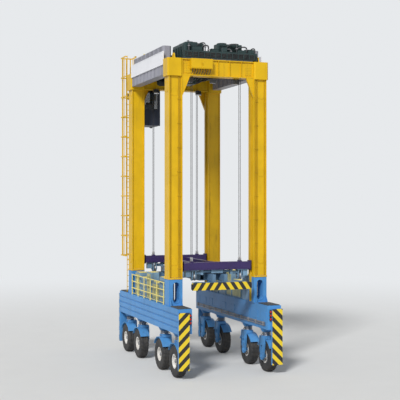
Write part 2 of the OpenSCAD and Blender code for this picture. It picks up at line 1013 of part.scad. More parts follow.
module cab_door_glass() {
    y = cab_left + door_gap;
    color("black")
        block([door_x + 90, y + 10, door_z + 700],
            [door_x + door_l - 90, y + 10 + glass_t, door_z + door_h - 90]);
}

// Hoist beams, guided by the rails on the legs
shoe_gap = 15;
shoe_t = 50;
hoist_end = leg_in - rail_d - 20;

module hoist_beam() {
    block([leg_x - hoist_l / 2, -hoist_end, hoist_z], [leg_x + hoist_l / 2, hoist_end, hoist_z + hoist_h]);
    both_sides()
        for (s = [-1, 1])
            translate([leg_x + s * (rail_l / 2 + shoe_gap + shoe_t / 2), leg_in - 90, hoist_z - 60])
                chamfered_post(shoe_t, 130, hoist_h + 120, 10);
    both_sides()
        translate([rope_x, rope_y, hoist_z + hoist_h - 1])
            chamfered_post(300, 140, 61, 20);
}

module hoist_beams() {
    color("darkslateblue") {
        for (m = [0, 1])
            mirror([m, 0, 0])
                hoist_beam();
        for (s = [-1, 1])
            block([-leg_x, s * boom_ys[0][1] - 110, hoist_z - 20], [leg_x, s * boom_ys[0][1] + 110, hoist_z + 240]);
    }
}

// Sheave blocks and cylinders under the hoist beams
sheave_r = 150;
cheek_t = 25;
cheek_w = 360;
// The motors stand in from the ends of the hoist beam
gear_inset = 130;
motor_reach = 410;
gear_y = hoist_end - gear_inset - motor_reach;
gear_drop = 330;
gear_bar_r = 75;
cheek_y = 80;
shift_l = 360;
shift_box_l = 130;
shift_in = gear_y - shift_l - shift_box_l;

module sheave_block() {
    z = hoist_z - gear_drop;
    for (s = [-1, 1])
        along_y(gear_y + s * cheek_y - cheek_t / 2, cheek_t)
            union() {
                translate([leg_x - cheek_w / 2, z])
                    square([cheek_w, gear_drop]);
                translate([leg_x, z])
                    circle(d = cheek_w, $fn = 48);
            }
    bar_y(leg_x, gear_y - 130, z, 260, 45);
    bar_y(leg_x, gear_y - 50, z, 100, sheave_r);
    // mounting flange against the hoist beam
    block([leg_x - cheek_w / 2, gear_y - 160, hoist_z - 40], [leg_x + cheek_w / 2, gear_y + 160, hoist_z]);
    // shift cylinder towards the middle
    bar_y(leg_x, gear_y - shift_l - 10, hoist_z - 150, shift_l + 10 - cheek_y, gear_bar_r);
    block([leg_x - 90, shift_in, hoist_z - 240], [leg_x + 90, shift_in + shift_box_l, hoist_z]);
}

module hoist_gear() {
    color("slategray") {
        all_corners() {
            sheave_block();
            // motor housing outside the sheave
            block([leg_x - 120, gear_y + 159, hoist_z - gear_drop], [leg_x + 120, gear_y + motor_reach, hoist_z]);
        }
        // shaft and valve box in the middle
        for (s = [-1, 1]) {
            bar_y(s * leg_x, -shift_in - 20, hoist_z - 90, 2 * (shift_in + 20), 60);
            block([s * leg_x - 130, -300, hoist_z - 170], [s * leg_x + 130, 300, hoist_z]);
        }
    }
}

// Spreader
boom_gap = 0.3;
side_gap = 5;
boom_z = lock_z + end_h + 60;
// Distance of the four booms from the middle plane: front arm, rear arm
boom_ys = [[-560, 560], [-300, 300]];
frame_x = 2650;
frame_half = 720;
wall = 50;
// Feet of the hoist beams' cross members on the frame
foot_l = 300;
foot_w = 200;
foot_x = frame_x - 250;
foot_y = boom_ys[0][1];

module spreader_section() {
    difference() {
        translate([-frame_half, boom_z - wall])
            square([2 * frame_half, boom_h + 2 * wall]);
        for (pair = boom_ys)
            for (y = pair)
                translate([y - boom_w / 2 - side_gap, boom_z - boom_gap])
                    square([boom_w + 2 * side_gap, boom_h + 2 * boom_gap]);
    }
}

module spreader_frame() {
    color(blue) {
        along_x(-frame_x, 2 * frame_x)
            spreader_section();
        for (x = [-foot_x, foot_x])
            for (y = [-foot_y, foot_y])
                block([x - foot_l / 2, y - foot_w / 2, boom_z + boom_h + wall - 1],
                    [x + foot_l / 2, y + foot_w / 2, hoist_z - 20]);
    }
}

guard_x = 340;
guard_l = 120;
guard_y = 3000;

module spreader_arm(ys) {
    // end beam
    translate([lock_x, 0, lock_z])
        chamfered_post(end_l, end_w, end_h, 60);
    // guard beam with its links
    translate([lock_x + guard_x, 0, lock_z])
        chamfered_post(guard_l, guard_y, end_h, 40);
    for (y = [-1, 1])
        block([lock_x, y * 900 - 80, lock_z + 60], [lock_x + guard_x, y * 900 + 80, lock_z + end_h - 60]);
    // booms
    for (y = ys)
        block([lock_x - boom_l, y - boom_w / 2, boom_z], [lock_x + end_l / 2, y + boom_w / 2, boom_z + boom_h]);
    for (y = ys)
        block([lock_x - end_l / 2, y - boom_w / 2, lock_z + end_h - 1],
            [lock_x + end_l / 2, y + boom_w / 2, boom_z + 1]);
    // twistlocks
    for (s = [-1, 1])
        translate([lock_x, s * lock_y, lock_z])
            twistlock();
}

module twistlock() {
    translate([0, 0, -40])
        cylinder(h = 41, r = 28, $fn = 32);
    translate([0, 0, -100])
        linear_extrude(60.5)
            intersection() {
                square([104, 56], center = true);
                circle(r = 52, $fn = 32);
            }
}

module spreader_arm_front() {
    color("goldenrod")
        spreader_arm(boom_ys[0]);
}

module spreader_arm_rear() {
    color("goldenrod")
        mirror([1, 0, 0])
            spreader_arm(boom_ys[1]);
}

// Wheels
wheel_y = king_y + wheel_out;
arm_in = -280;
arm_t = 90;
guard_r = tyre_r + 70;
guard_t = 30;
guard_w = tyre_w + 60;

// One steered fork with its stub and mudguard, about the kingpin at the origin
module knuckle() {
    top = king_top - turn_gap;
    color("cornflowerblue") {
        translate([0, 0, top - 60])
            cylinder(h = 60, r = 260, $fn = 48);
        translate([0, 0, tyre_r + guard_r + guard_t - 20])
            cylinder(h = top - 60 - tyre_r - guard_r - guard_t + 21, r = 150, $fn = 32);
        // inner arm down to the axle
        along_y(arm_in, arm_t) {
            difference() {
                union() {
                    translate([0, tyre_r])
                        circle(r = 190, $fn = 48);
                    polygon([
                        [-190, tyre_r], [-300, tyre_r + 600], [-260, tyre_r + guard_r + 130],
                        [260, tyre_r + guard_r + 130], [300, tyre_r + 600], [190, tyre_r],
                    ]);
                }
                translate([0, tyre_r + 430])
                    circle(r = 110, $fn = 32);
            }
        }
        // crown over the tyre
        block([-260, arm_in, tyre_r + guard_r + 10], [260, 170, tyre_r + guard_r + 130]);
        // mudguard
        along_y(wheel_out - guard_w / 2, guard_w)
            translate([0, tyre_r])
                intersection() {
                    difference() {
                        circle(r = guard_r + guard_t, $fn = 240);
                        circle(r = guard_r, $fn = 240);
                    }
                    polygon([[0, 0], [-900, 560], [-900, 1200], [900, 1200], [900, 560]]);
                }
        // stub
        bar_y(0, arm_in + arm_t - 1, tyre_r, wheel_out + 40 - arm_in - arm_t + 1, stub_r);
    }
}

// Half section of a rim about its axle: cap, dished disc, seat between two flanges, hub
flange_h = 24;
flange_t = 14;
bead_in = 45;
barrel_t = 28;
hub_r = stub_r + 60;
cap_z = 120;
cap_t = 40;

module rim_profile() {
    half = tyre_w / 2 - bead_in;
    inner = seat_r - barrel_t;
    polygon([
        [0, cap_z], [hub_r, cap_z], [hub_r, cap_z - 46], [hub_r + 50, 62], [inner, 32],
        [inner, half + flange_t], [seat_r + flange_h, half + flange_t],
        [seat_r + flange_h, half], [seat_r, half], [seat_r, -half],
        [seat_r + flange_h, -half], [seat_r + flange_h, -half - flange_t],
        [inner, -half - flange_t], [inner, -2], [hub_r + 50, 20], [hub_r, 20], [hub_r, -130],
        [stub_r + stub_gap, -130], [stub_r + stub_gap, cap_z - cap_t], [0, cap_z - cap_t],
    ]);
}

module rim() {
    color("whitesmoke")
        rotate([90, 0, 0])
            mirror([0, 0, 1])
                rotate_extrude($fn = 48)
                    rim_profile();
}

module tyre_profile() {
    half = tyre_w / 2;
    // one side of the half section, from the bead to the tread
    side = [
        [seat_r, half - bead_in], [seat_r + flange_h, half - bead_in],
        [seat_r + flange_h, half - 20], [seat_r + 120, half],
        [tyre_r - 90, half - 4], [tyre_r - 20, half - 45], [tyre_r, half - 90],
    ];
    count = len(side);
    polygon(concat(side, [for (i = [1 : count]) [side[count - i][0], -side[count - i][1]]]));
}

module tyre() {
    color("black")
        rotate([90, 0, 0])
            rotate([0, 0, -90])
                rotate_extrude($fn = 48)
                    tyre_profile();
}

// name, sign along X, sign along Y, axle distance
wheels = [
    ["fl_1", 1, 1, axle_out_x], ["fl_2", 1, 1, axle_in_x],
    ["rl_2", -1, 1, axle_in_x], ["rl_1", -1, 1, axle_out_x],
    ["fr_1", 1, -1, axle_out_x], ["fr_2", 1, -1, axle_in_x],
    ["rr_2", -1, -1, axle_in_x], ["rr_1", -1, -1, axle_out_x],
];

module at_kingpin(w) {
    translate([w[1] * w[3], w[2] * king_y, 0])
        mirror([0, w[2] < 0 ? 1 : 0, 0])
            children();
}

module at_axle(w) {
    at_kingpin(w)
        translate([0, wheel_out, tyre_r])
            children();
}

chassis();
side_rails();
side_packs();
hazard_panels();
legs();
guide_rails();
cross_beams();
side_girders();
sign_panels();
top_deck();
deck_rails();
engine_housings();
cooler_pack();
hoist_winches();
under_gear();
switch_cabinets();
exhausts();
lamps();
hoist_ropes();
ladder();
ladder_brackets();
ladder_cage();
cage_straps();
cab_frame();
cab_floor();
cab_roof();
cab_glass();
cab_seat();
cab_console();
cab_door();
cab_door_glass();
hoist_beams();
hoist_gear();
spreader_frame();
spreader_arm_front();
spreader_arm_rear();
for (w = wheels) {
    at_kingpin(w) knuckle();
    at_axle(w) rim();
    at_axle(w) tyre();
}
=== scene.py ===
import math

import bmesh
import bpy
import numpy as np
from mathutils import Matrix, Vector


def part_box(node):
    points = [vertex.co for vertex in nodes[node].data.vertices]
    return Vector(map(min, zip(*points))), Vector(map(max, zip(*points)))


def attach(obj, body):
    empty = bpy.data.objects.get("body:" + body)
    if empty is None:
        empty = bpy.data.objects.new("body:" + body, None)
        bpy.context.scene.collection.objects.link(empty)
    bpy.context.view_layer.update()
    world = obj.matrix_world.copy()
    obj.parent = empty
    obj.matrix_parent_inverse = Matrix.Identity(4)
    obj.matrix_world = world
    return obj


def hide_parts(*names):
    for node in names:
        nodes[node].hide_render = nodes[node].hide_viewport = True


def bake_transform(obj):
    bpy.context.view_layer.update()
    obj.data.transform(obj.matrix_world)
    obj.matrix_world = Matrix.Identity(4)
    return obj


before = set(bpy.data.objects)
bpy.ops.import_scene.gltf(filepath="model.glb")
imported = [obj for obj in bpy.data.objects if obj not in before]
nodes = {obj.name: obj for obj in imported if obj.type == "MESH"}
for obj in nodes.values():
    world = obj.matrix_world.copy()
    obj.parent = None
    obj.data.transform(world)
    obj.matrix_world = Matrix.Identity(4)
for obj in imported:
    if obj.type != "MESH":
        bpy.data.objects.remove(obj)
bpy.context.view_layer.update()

nodeBox = {name: [np.array(corner, float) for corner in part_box(name)] for name in nodes}
beamTop = nodeBox["side_rails"][0][2]
deckTop = nodeBox["top_deck"][1][2]
print("stage: frame loaded,", len(nodes), "nodes")

# camera where the photograph's stood, aimed level at the machine's middle
cameraSettings = {"place": (-46.0, 16.7, 8.26), "aim": (0.0, -0.31), "lens": 85.5, "sensor": 36.0,
                  "sight": 2000}
cameraData = bpy.data.cameras.new("camera")
cameraData.lens = cameraSettings["lens"]
cameraData.sensor_width = cameraSettings["sensor"]
cameraData.clip_end = cameraSettings["sight"]
camera = bpy.data.objects.new("camera", cameraData)
bpy.context.collection.objects.link(camera)
camera.location = cameraSettings["place"]
lookX = cameraSettings["aim"][0] - cameraSettings["place"][0]
lookY = cameraSettings["aim"][1] - cameraSettings["place"][1]
camera.rotation_euler = (math.pi / 2, 0, math.atan2(-lookX, lookY))
bpy.context.scene.camera = camera
bpy.context.scene.view_settings.view_transform = "Standard"
print("stage: camera")


# shader helpers

def addNode(tree, kind, **settings):
    node = tree.nodes.new(kind)
    for key, value in settings.items():
        node.inputs[key.replace("_", " ")].default_value = value
    return node


# each input takes a number, a colour or another node's output
def feed(tree, node, slotValues):
    for slot, value in slotValues:
        if isinstance(value, (int, float)):
            node.inputs[slot].default_value = value
        elif isinstance(value, tuple):
            node.inputs[slot].default_value = value + (1.0,)
        elif value is not None:
            tree.links.new(value, node.inputs[slot])


def mathNode(tree, operation, first, second=None, third=None, clamp=False):
    node = tree.nodes.new("ShaderNodeMath")
    node.operation = operation
    node.use_clamp = clamp
    feed(tree, node, enumerate((first, second, third)))
    return node.outputs[0]


def mixColour(tree, factor, first, second):
    node = tree.nodes.new("ShaderNodeMix")
    node.data_type = "RGBA"
    feed(tree, node, ((0, factor), (6, first), (7, second)))
    return node.outputs[2]


def objectSpace(tree, scale=(1, 1, 1)):
    coords = tree.nodes.new("ShaderNodeTexCoord")
    mapping = tree.nodes.new("ShaderNodeMapping")
    mapping.inputs["Scale"].default_value = scale
    tree.links.new(coords.outputs["Object"], mapping.inputs["Vector"])
    return mapping.outputs[0]


def noiseField(tree, scale, detail=3.0, stretch=(1, 1, 1), roughness=0.55):
    noise = addNode(tree, "ShaderNodeTexNoise", Scale=scale, Detail=detail, Roughness=roughness)
    tree.links.new(objectSpace(tree, stretch), noise.inputs["Vector"])
    return noise.outputs[0]


def ramp(tree, value, low, high):
    node = addNode(tree, "ShaderNodeMapRange", From_Min=low, From_Max=high)
    node.interpolation_type = "SMOOTHSTEP"
    tree.links.new(value, node.inputs["Value"])
    return node.outputs[0]


def axisValue(tree, axis):
    split = tree.nodes.new("ShaderNodeSeparateXYZ")
    tree.links.new(objectSpace(tree), split.inputs[0])
    return split.outputs[axis]


def newMaterial(name):
    material = bpy.data.materials.new(name)
    material.use_nodes = True
    tree = material.node_tree
    shader = tree.nodes["Principled BSDF"]
    return material, tree, shader


# fine relief of the surface, from a field of heights
def addBump(tree, shader, heights, strength, distance):
    bump = addNode(tree, "ShaderNodeBump", Strength=strength, Distance=distance)
    tree.links.new(heights, bump.inputs["Height"])
    tree.links.new(bump.outputs[0], shader.inputs["Normal"])


def dress(tree, shader, colour, roughness):
    tree.links.new(colour, shader.inputs["Base Color"])
    tree.links.new(roughness, shader.inputs["Roughness"])


def scaled(colour, share):
    return tuple(min(1.0, channel * share) for channel in colour)


# how dirt lies on paint: streaks run down, patches gather them, dust climbs from the road
wear = {"mottleScale": 0.9, "streakScale": 7.0, "streakStretch": (1, 1, 0.06), "streakBand": (0.5, 0.78),
        "patchScale": 1.7, "patchStretch": (1, 1, 0.5), "patchBand": (0.42, 0.7), "dustBand": (0.3, 0.75),
        "dustHeights": (2.4, 0.2), "dustAmount": 0.45}


# colour times a slow mottle, then dirt mixed in where streaks cross patches and where dust climbs
def weathered(tree, colour, dirt, amount, mottle):
    slow = noiseField(tree, wear["mottleScale"], 4.0)
    shade = mixColour(tree, ramp(tree, slow, 0.3, 0.7), scaled(colour, 1 - mottle),
                      scaled(colour, 1 + mottle))
    streak = noiseField(tree, wear["streakScale"], 4.0, wear["streakStretch"], 0.6)
    patch = noiseField(tree, wear["patchScale"], 5.0, wear["patchStretch"], 0.65)
    mask = mathNode(tree, "MULTIPLY", ramp(tree, streak, *wear["streakBand"]),
                    ramp(tree, patch, *wear["patchBand"]))
    low = ramp(tree, axisValue(tree, 2), *wear["dustHeights"])
    dust = mathNode(tree, "MULTIPLY", low, ramp(tree, patch, *wear["dustBand"]))
    total = mathNode(tree, "ADD", mathNode(tree, "MULTIPLY", mask, amount),
                     mathNode(tree, "MULTIPLY", dust, wear["dustAmount"]), clamp=True)
    return mixColour(tree, total, shade, dirt), total


# dirt is duller than the paint, and a fine grain varies the gloss
def paint(name, colour, dirt, amount, rough=0.42, bump=0.12, mottle=0.08):
    material, tree, shader = newMaterial(name)
    result, mask = weathered(tree, colour, dirt, amount, mottle)
    grain = noiseField(tree, 26.0, 3.0)
    gloss = mathNode(tree, "ADD", mathNode(tree, "MULTIPLY", mask, 0.3),
                     mathNode(tree, "MULTIPLY_ADD", grain, 0.18, rough - 0.09), clamp=True)
    dress(tree, shader, result, gloss)
    addBump(tree, shader, noiseField(tree, 60.0, 2.0), bump, 0.004)
    shader.inputs["Specular IOR Level"].default_value = 0.35
    return material


stripePaint = {"light": (0.74, 0.54, 0.02), "dark": (0.016, 0.016, 0.018), "plain": (0.10, 0.19, 0.30),
               "worn": (0.12, 0.09, 0.06), "wornBand": (0.60, 0.72), "edge": 0.005, "step": 0.004}


# light where the fractional part of (rise above base / steep + distance from the middle plane) / period
# is near nought; with only, what lies inside its first value or above its second is painted plain
def stripes(name, period, steep=1.0, base=0.0, only=None):
    material, tree, shader = newMaterial(name)
    along = mathNode(tree, "ABSOLUTE", axisValue(tree, 1))
    rise = mathNode(tree, "MULTIPLY_ADD", axisValue(tree, 2), 1 / steep, -base / steep)
    phase = mathNode(tree, "FRACT", mathNode(tree, "DIVIDE", mathNode(tree, "ADD", rise, along), period))
    fromMiddle = mathNode(tree, "ABSOLUTE", mathNode(tree, "SUBTRACT", phase, 0.5))
    edge = ramp(tree, fromMiddle, 0.25 - stripePaint["edge"], 0.25 + stripePaint["edge"])
    painted = mixColour(tree, edge, stripePaint["dark"], stripePaint["light"])
    if only:
        beyond = mathNode(tree, "ABSOLUTE", axisValue(tree, 0))
        out = ramp(tree, beyond, only[0], only[0] + stripePaint["step"])
        under = ramp(tree, axisValue(tree, 2), only[1] + stripePaint["step"], only[1])
        painted = mixColour(tree, mathNode(tree, "MULTIPLY", out, under), stripePaint["plain"], painted)
    worn = ramp(tree, noiseField(tree, 5.0, 6.0, (1, 1, 0.6), 0.7), *stripePaint["wornBand"])
    result = mixColour(tree, mathNode(tree, "MULTIPLY", worn, 0.4), painted, stripePaint["worn"])
    dress(tree, shader, result, mathNode(tree, "MULTIPLY_ADD", worn, 0.3, 0.4))
    return material


# zinc's spangle varies tone and gloss, and stains lie over it
def metalSheet(name, colour, rough=0.45, scale=30.0):
    material, tree, shader = newMaterial(name)
    spangle = addNode(tree, "ShaderNodeTexVoronoi", Scale=scale)
    tree.links.new(objectSpace(tree), spangle.inputs["Vector"])
    tone = mixColour(tree, spangle.outputs["Distance"], scaled(colour, 0.8), colour)
    stain = ramp(tree, noiseField(tree, 2.0, 5.0, (1, 1, 0.4)), 0.5, 0.75)
    stained = mixColour(tree, mathNode(tree, "MULTIPLY", stain, 0.4), tone, (0.08, 0.06, 0.05))
    dress(tree, shader, stained, mathNode(tree, "MULTIPLY_ADD", spangle.outputs["Distance"], 0.2, rough))
    shader.inputs["Metallic"].default_value = 0.7
    return material


def rubber(name):
    material, tree, shader = newMaterial(name)
    dust = ramp(tree, noiseField(tree, 3.0, 6.0, roughness=0.7), 0.35, 0.75)
    dusty = mixColour(tree, dust, (0.014, 0.014, 0.015), (0.055, 0.050, 0.045))
    dress(tree, shader, dusty, mathNode(tree, "MULTIPLY_ADD", dust, 0.2, 0.68))
    addBump(tree, shader, noiseField(tree, 90.0, 3.0), 0.3, 0.003)
    return material


# dark clear sheet with a faint haze on it
def tintedGlass(name):
    material, tree, shader = newMaterial(name)
    haze = ramp(tree, noiseField(tree, 4.0, 4.0), 0.4, 0.8)
    tint = mixColour(tree, haze, (0.010, 0.022, 0.034), (0.030, 0.048, 0.062))
    dress(tree, shader, tint, mathNode(tree, "MULTIPLY_ADD", haze, 0.03, 0.01))
    shader.inputs["Alpha"].default_value = 0.42
    shader.inputs["IOR"].default_value = 1.5
    return material


# one grain drives tone, gloss and relief
def plainGrain(name, colour, rough, scale, depth, sheen=0.0):
    material, tree, shader = newMaterial(name)
    grain = noiseField(tree, scale, 4.0)
    tone = mixColour(tree, grain, scaled(colour, 0.7), scaled(colour, 1.3))
    dress(tree, shader, tone, mathNode(tree, "MULTIPLY_ADD", grain, 0.2, rough - 0.1))
    shader.inputs["Sheen Weight"].default_value = sheen
    addBump(tree, shader, grain, depth, 0.002)
    return material


# paint takes its colour, its dirt's colour and the dirt's amount first
finishes = {
    "yellow": paint("legYellow", (0.66, 0.40, 0.003), (0.13, 0.060, 0.012), 0.65),
    "yellowDark": paint("boltYellow", (0.46, 0.27, 0.004), (0.12, 0.07, 0.02), 0.6),
    # guide rails: a darker copy of the legs' yellow, as painted shade on the rail strips; the dirt over it is
    # dirt
    "rail": paint("railYellowPaintedShade", (0.50, 0.32, 0.02), (0.06, 0.045, 0.03), 0.8, 0.38),
    "blue": paint("chassisBlue", (0.066, 0.245, 0.53), (0.06, 0.055, 0.05), 0.55),
    "knuckleBlue": paint("forkBlue", (0.075, 0.26, 0.54), (0.05, 0.045, 0.04), 0.8),
    "cream": paint("railingCream", (0.74, 0.62, 0.18), (0.2, 0.15, 0.08), 0.4),
    "grey": paint("girderGrey", (0.27, 0.27, 0.31), (0.07, 0.065, 0.06), 0.6),
    "white": paint("panelWhite", (0.74, 0.74, 0.77), (0.28, 0.26, 0.24), 0.45, mottle=0.03),
    "dark": paint("machineGreen", (0.020, 0.040, 0.040), (0.05, 0.045, 0.04), 0.7, 0.45, 0.2, 0.25),
    "cab": paint("cabDark", (0.022, 0.032, 0.060), (0.06, 0.055, 0.05), 0.4),
    "violet": paint("hoistViolet", (0.038, 0.023, 0.100), (0.04, 0.035, 0.03), 0.7),
    "conduit": metalSheet("conduitSteel", (0.42, 0.42, 0.43), 0.45, 60.0),
    "darkHose": plainGrain("hoseBlack", (0.030, 0.032, 0.034), 0.55, 120.0, 0.3),
    "slate": paint("packSlate", (0.16, 0.27, 0.38), (0.08, 0.07, 0.06), 0.7, mottle=0.2),
    "packPale": paint("packPale", (0.40, 0.40, 0.20), (0.05, 0.05, 0.035), 0.9, mottle=0.2),
    "rim": paint("rimWhite", (0.74, 0.73, 0.70), (0.20, 0.13, 0.08), 0.9, 0.45, 0.15, 0.05),
    "hazardPanel": stripes("panelStripes", 0.50),
    "hazardBeam": stripes("beamStripes", 0.42, 1.5, 4.155, (3.775, 4.332)),
    "springGrey": metalSheet("springSteel", (0.30, 0.31, 0.33), 0.38, 60.0),
    "redLens": plainGrain("rearLens", (0.45, 0.012, 0.010), 0.15, 40.0, 0.05),
    "mirror": metalSheet("mirrorFace", (0.70, 0.72, 0.74), 0.06, 8.0),
    "deck": metalSheet("deckPlate", (0.11, 0.115, 0.12), 0.5, 18.0),
    # top deck: paint darkened to near black, as painted shade under the deck
    "deckPaintedShade": paint("deckPaintedShade", (0.055, 0.058, 0.060), (0.025, 0.022, 0.02), 0.8, 0.6, 0.25, 0.25),
    "steel": metalSheet("plainSteel", (0.34, 0.34, 0.35), 0.4, 60.0),
    "rope": metalSheet("ropeSteel", (0.05, 0.05, 0.055), 0.45, 90.0),
    "rubber": rubber("tyreRubber"),
    "glass": tintedGlass("cabGlass"),
    "cloth": plainGrain("seatCloth", (0.035, 0.035, 0.045), 0.85, 300.0, 0.5, 0.3),
    "plastic": plainGrain("consolePlastic", (0.10, 0.105, 0.11), 0.5, 220.0, 0.25),
    "lampBody": plainGrain("lampBody", (0.10, 0.105, 0.11), 0.45, 150.0, 0.1),
    "lens": plainGrain("lampLens", (0.85, 0.88, 0.90), 0.15, 40.0, 0.05),
}

# the CAD nodes under each finish; a wheel's node is known by the first word of its name
finishNodes = {
    "blue": ("chassis",),
    "cream": ("side_rails", "deck_rails"),
    "slate": ("side_packs", "hoist_gear", "spreader_frame"),
    "hazardPanel": ("hazard_panels",),
    "yellow": ("legs", "cross_beams", "ladder", "ladder_brackets", "ladder_cage", "cage_straps"),
    "rail": ("guide_rails",),
    "grey": ("side_girders",),
    "white": ("sign_panels",),
    "deckPaintedShade": ("top_deck",),
    "dark": ("engine_housings", "cooler_pack", "hoist_winches", "under_gear", "switch_cabinets"),
    "steel": ("exhausts",),
    "lampBody": ("lamps",),
    "rope": ("hoist_ropes",),
    "cab": ("cab_frame", "cab_floor", "cab_roof", "cab_door"),
    "glass": ("cab_glass", "cab_door_glass"),
    "plastic": ("cab_seat", "cab_console"),
    "violet": ("hoist_beams",),
    "hazardBeam": ("spreader_arm_front", "spreader_arm_rear"),
    "knuckleBlue": ("knuckle",),
    "rim": ("rim",),
    "rubber": ("tyre",),
}
nodeFinish = {name: finish for finish, names in finishNodes.items() for name in names}
for nodeName, nodeObject in nodes.items():
    kind = nodeFinish.get(nodeName) or nodeFinish[nodeName.split("_")[0]]
    if not nodeObject.material_slots:
        nodeObject.data.materials.append(None)
    for materialSlot in nodeObject.material_slots:
        materialSlot.material = finishes[kind]
print("stage: finishes")

# floor, backdrop and light
stageSettings = {"floorHalf": 400.0, "fadeFrom": 14.0, "fadeTo": 55.0, "pale": (0.80, 0.82, 0.84),
                 "floor": (0.66, 0.66, 0.65), "floorMottle": 0.03, "sky": (0.93, 0.96, 1.0),
                 "worldLight": 0.40, "sunPower": 3.15, "sunAngle": 14.0, "sunFrom": (-0.62, 0.52, 0.62)}


# second shows where the factor is one
def mixShaders(tree, factor, first, second):
    node = tree.nodes.new("ShaderNodeMixShader")
    for slot, output in enumerate((factor, first, second)):
        tree.links.new(output, node.inputs[slot])
    return node.outputs[0]


# lit by the sky's colour, while the camera, mirrors and glass see the pale backdrop
world = bpy.data.worlds.new("world")
bpy.context.scene.world = world
world.use_nodes = True
worldTree = world.node_tree
worldTree.nodes.clear()
rays = worldTree.nodes.new("ShaderNodeLightPath").outputs
mirrorRays = mathNode(worldTree, "MAXIMUM", rays["Is Glossy Ray"], rays["Is Transmission Ray"])
seen = mathNode(worldTree, "MAXIMUM", rays["Is Camera Ray"], mirrorRays)
skyShade = addNode(worldTree, "ShaderNodeBackground", Color=stageSettings["sky"] + (1,),
                   Strength=stageSettings["worldLight"])
seenShade = addNode(worldTree, "ShaderNodeBackground", Color=stageSettings["pale"] + (1,), Strength=1.0)
worldOut = worldTree.nodes.new("ShaderNodeOutputWorld")
worldTree.links.new(mixShaders(worldTree, seen, skyShade.outputs[0], seenShade.outputs[0]),
                    worldOut.inputs[0])

sunData = bpy.data.lights.new("sun", "SUN")
sunData.energy = stageSettings["sunPower"]
sunData.angle = math.radians(stageSettings["sunAngle"])
sun = bpy.data.objects.new("sun", sunData)
bpy.context.collection.objects.link(sun)
sunX, sunY, sunZ = stageSettings["sunFrom"]
sun.rotation_euler = (math.acos(sunZ / math.hypot(sunX, sunY, sunZ)), 0, math.atan2(sunX, -sunY))

half = stageSettings["floorHalf"]
floorMesh = bpy.data.meshes.new("floor")
floorMesh.from_pydata([(-half, -half, 0), (half, -half, 0), (half, half, 0), (-half, half, 0)], [],
                      [(0, 1, 2, 3)])
floor = bpy.data.objects.new("floor", floorMesh)
bpy.context.collection.objects.link(floor)

# the floor fades to the backdrop's colour with distance, for the camera alone
floorMaterial, floorTree, floorShader = newMaterial("floorPale")
floorShader.inputs["Roughness"].default_value = 0.9
floorTones = [scaled(stageSettings["floor"], 1 + sign * stageSettings["floorMottle"]) for sign in (-1, 1)]
floorTree.links.new(mixColour(floorTree, noiseField(floorTree, 0.6, 5.0), *floorTones),
                    floorShader.inputs["Base Color"])
fromMiddle = floorTree.nodes.new("ShaderNodeVectorMath")
fromMiddle.operation = "LENGTH"
floorTree.links.new(objectSpace(floorTree), fromMiddle.inputs[0])
fade = ramp(floorTree, fromMiddle.outputs["Value"], stageSettings["fadeFrom"], stageSettings["fadeTo"])
floorRays = floorTree.nodes.new("ShaderNodeLightPath").outputs
fadeSeen = mathNode(floorTree, "MULTIPLY", fade, floorRays["Is Camera Ray"])
glow = addNode(floorTree, "ShaderNodeEmission", Color=stageSettings["pale"] + (1,), Strength=1.0)
floorLook = mixShaders(floorTree, fadeSeen, floorShader.outputs[0], glow.outputs[0])
floorTree.links.new(floorLook, floorTree.nodes["Material Output"].inputs[0])
floorMesh.materials.append(floorMaterial)
print("stage: light and floor")


# surfaces worked out with numpy. A part is (points, [face arrays])

def fullTurn(count):
    return np.linspace(0, 2 * math.pi, count, endpoint=False)


# rings[i, j] is a point at step i along the path and j round the outline; quads join each step to the next
def loft(rings, closeRow=False, caps=True):
    rings = np.asarray(rings, float)
    rows, count = rings.shape[:2]
    grid = np.arange(rows * count).reshape(rows, count)
    nextRow = np.roll(grid, -1, 0) if closeRow else grid[1:]
    thisRow = grid if closeRow else grid[:-1]
    quads = np.stack([thisRow, np.roll(thisRow, -1, 1), np.roll(nextRow, -1, 1), nextRow], -1).reshape(-1, 4)
    faces = [quads]
    if caps and not closeRow:
        faces.append(grid[:1, ::-1])
        faces.append(grid[-1:])
    return rings.reshape(-1, 3), faces


def joined(parts):
    points, faces, start = [], [], 0
    for partPoints, partFaces in parts:
        points.append(partPoints)
        faces.extend(face + start for face in partFaces)
        start += len(partPoints)
    return np.concatenate(points), faces


# part set at each 4x4 frame, all at once
def copies(part, frames):
    points, faces = part
    frames = np.asarray(frames, float)
    moved = np.einsum("kij,nj->kni", frames[:, :3, :3], points) + frames[:, None, :3, 3]
    step = np.arange(len(frames))[:, None, None] * len(points)
    return moved.reshape(-1, 3), [(face[None] + step).reshape(-1, face.shape[1]) for face in faces]


# frames whose z axis is axis, at the given places
def framesAt(places, axis=(0, 0, 1)):
    z = np.asarray(axis, float)
    z = z / np.linalg.norm(z)
    side = np.array([1.0, 0, 0]) if abs(z[0]) < 0.9 else np.array([0, 1.0, 0])
    y = np.cross(z, side)
    y /= np.linalg.norm(y)
    places = np.atleast_2d(np.asarray(places, float))
    frames = np.tile(np.eye(4), (len(places), 1, 1))
    frames[:, :3, 0], frames[:, :3, 1], frames[:, :3, 2] = np.cross(y, z), y, z
    frames[:, :3, 3] = places
    return frames


def stood(part, places, axis=(0, 0, 1)):
    return copies(part, framesAt(places, axis))


# part on a face: its z points outward and its y is up along the face
def onFace(part, place, outward, up=(0, 0, 1)):
    z = np.asarray(outward, float)
    z = z / np.linalg.norm(z)
    x = np.cross(np.asarray(up, float), z)
    x /= np.linalg.norm(x)
    faceFrame = np.eye(4)
    faceFrame[:3] = np.stack([x, np.cross(z, x), z, place], -1)
    return copies(part, faceFrame[None])


# part on a level face: its y runs across the machine, or along it without across
def onTop(part, place, across=True):
    return onFace(part, place, (0, 0, 1), (0, 1, 0) if across else (1, 0, 0))


def mirrored(part, axis):
    points, faces = part
    points = points.copy()
    points[:, axis] *= -1
    return points, [face[:, ::-1] for face in faces]


def bothSides(part):
    return joined([part, mirrored(part, 1)])


def bothEnds(part):
    return joined([part, mirrored(part, 0)])


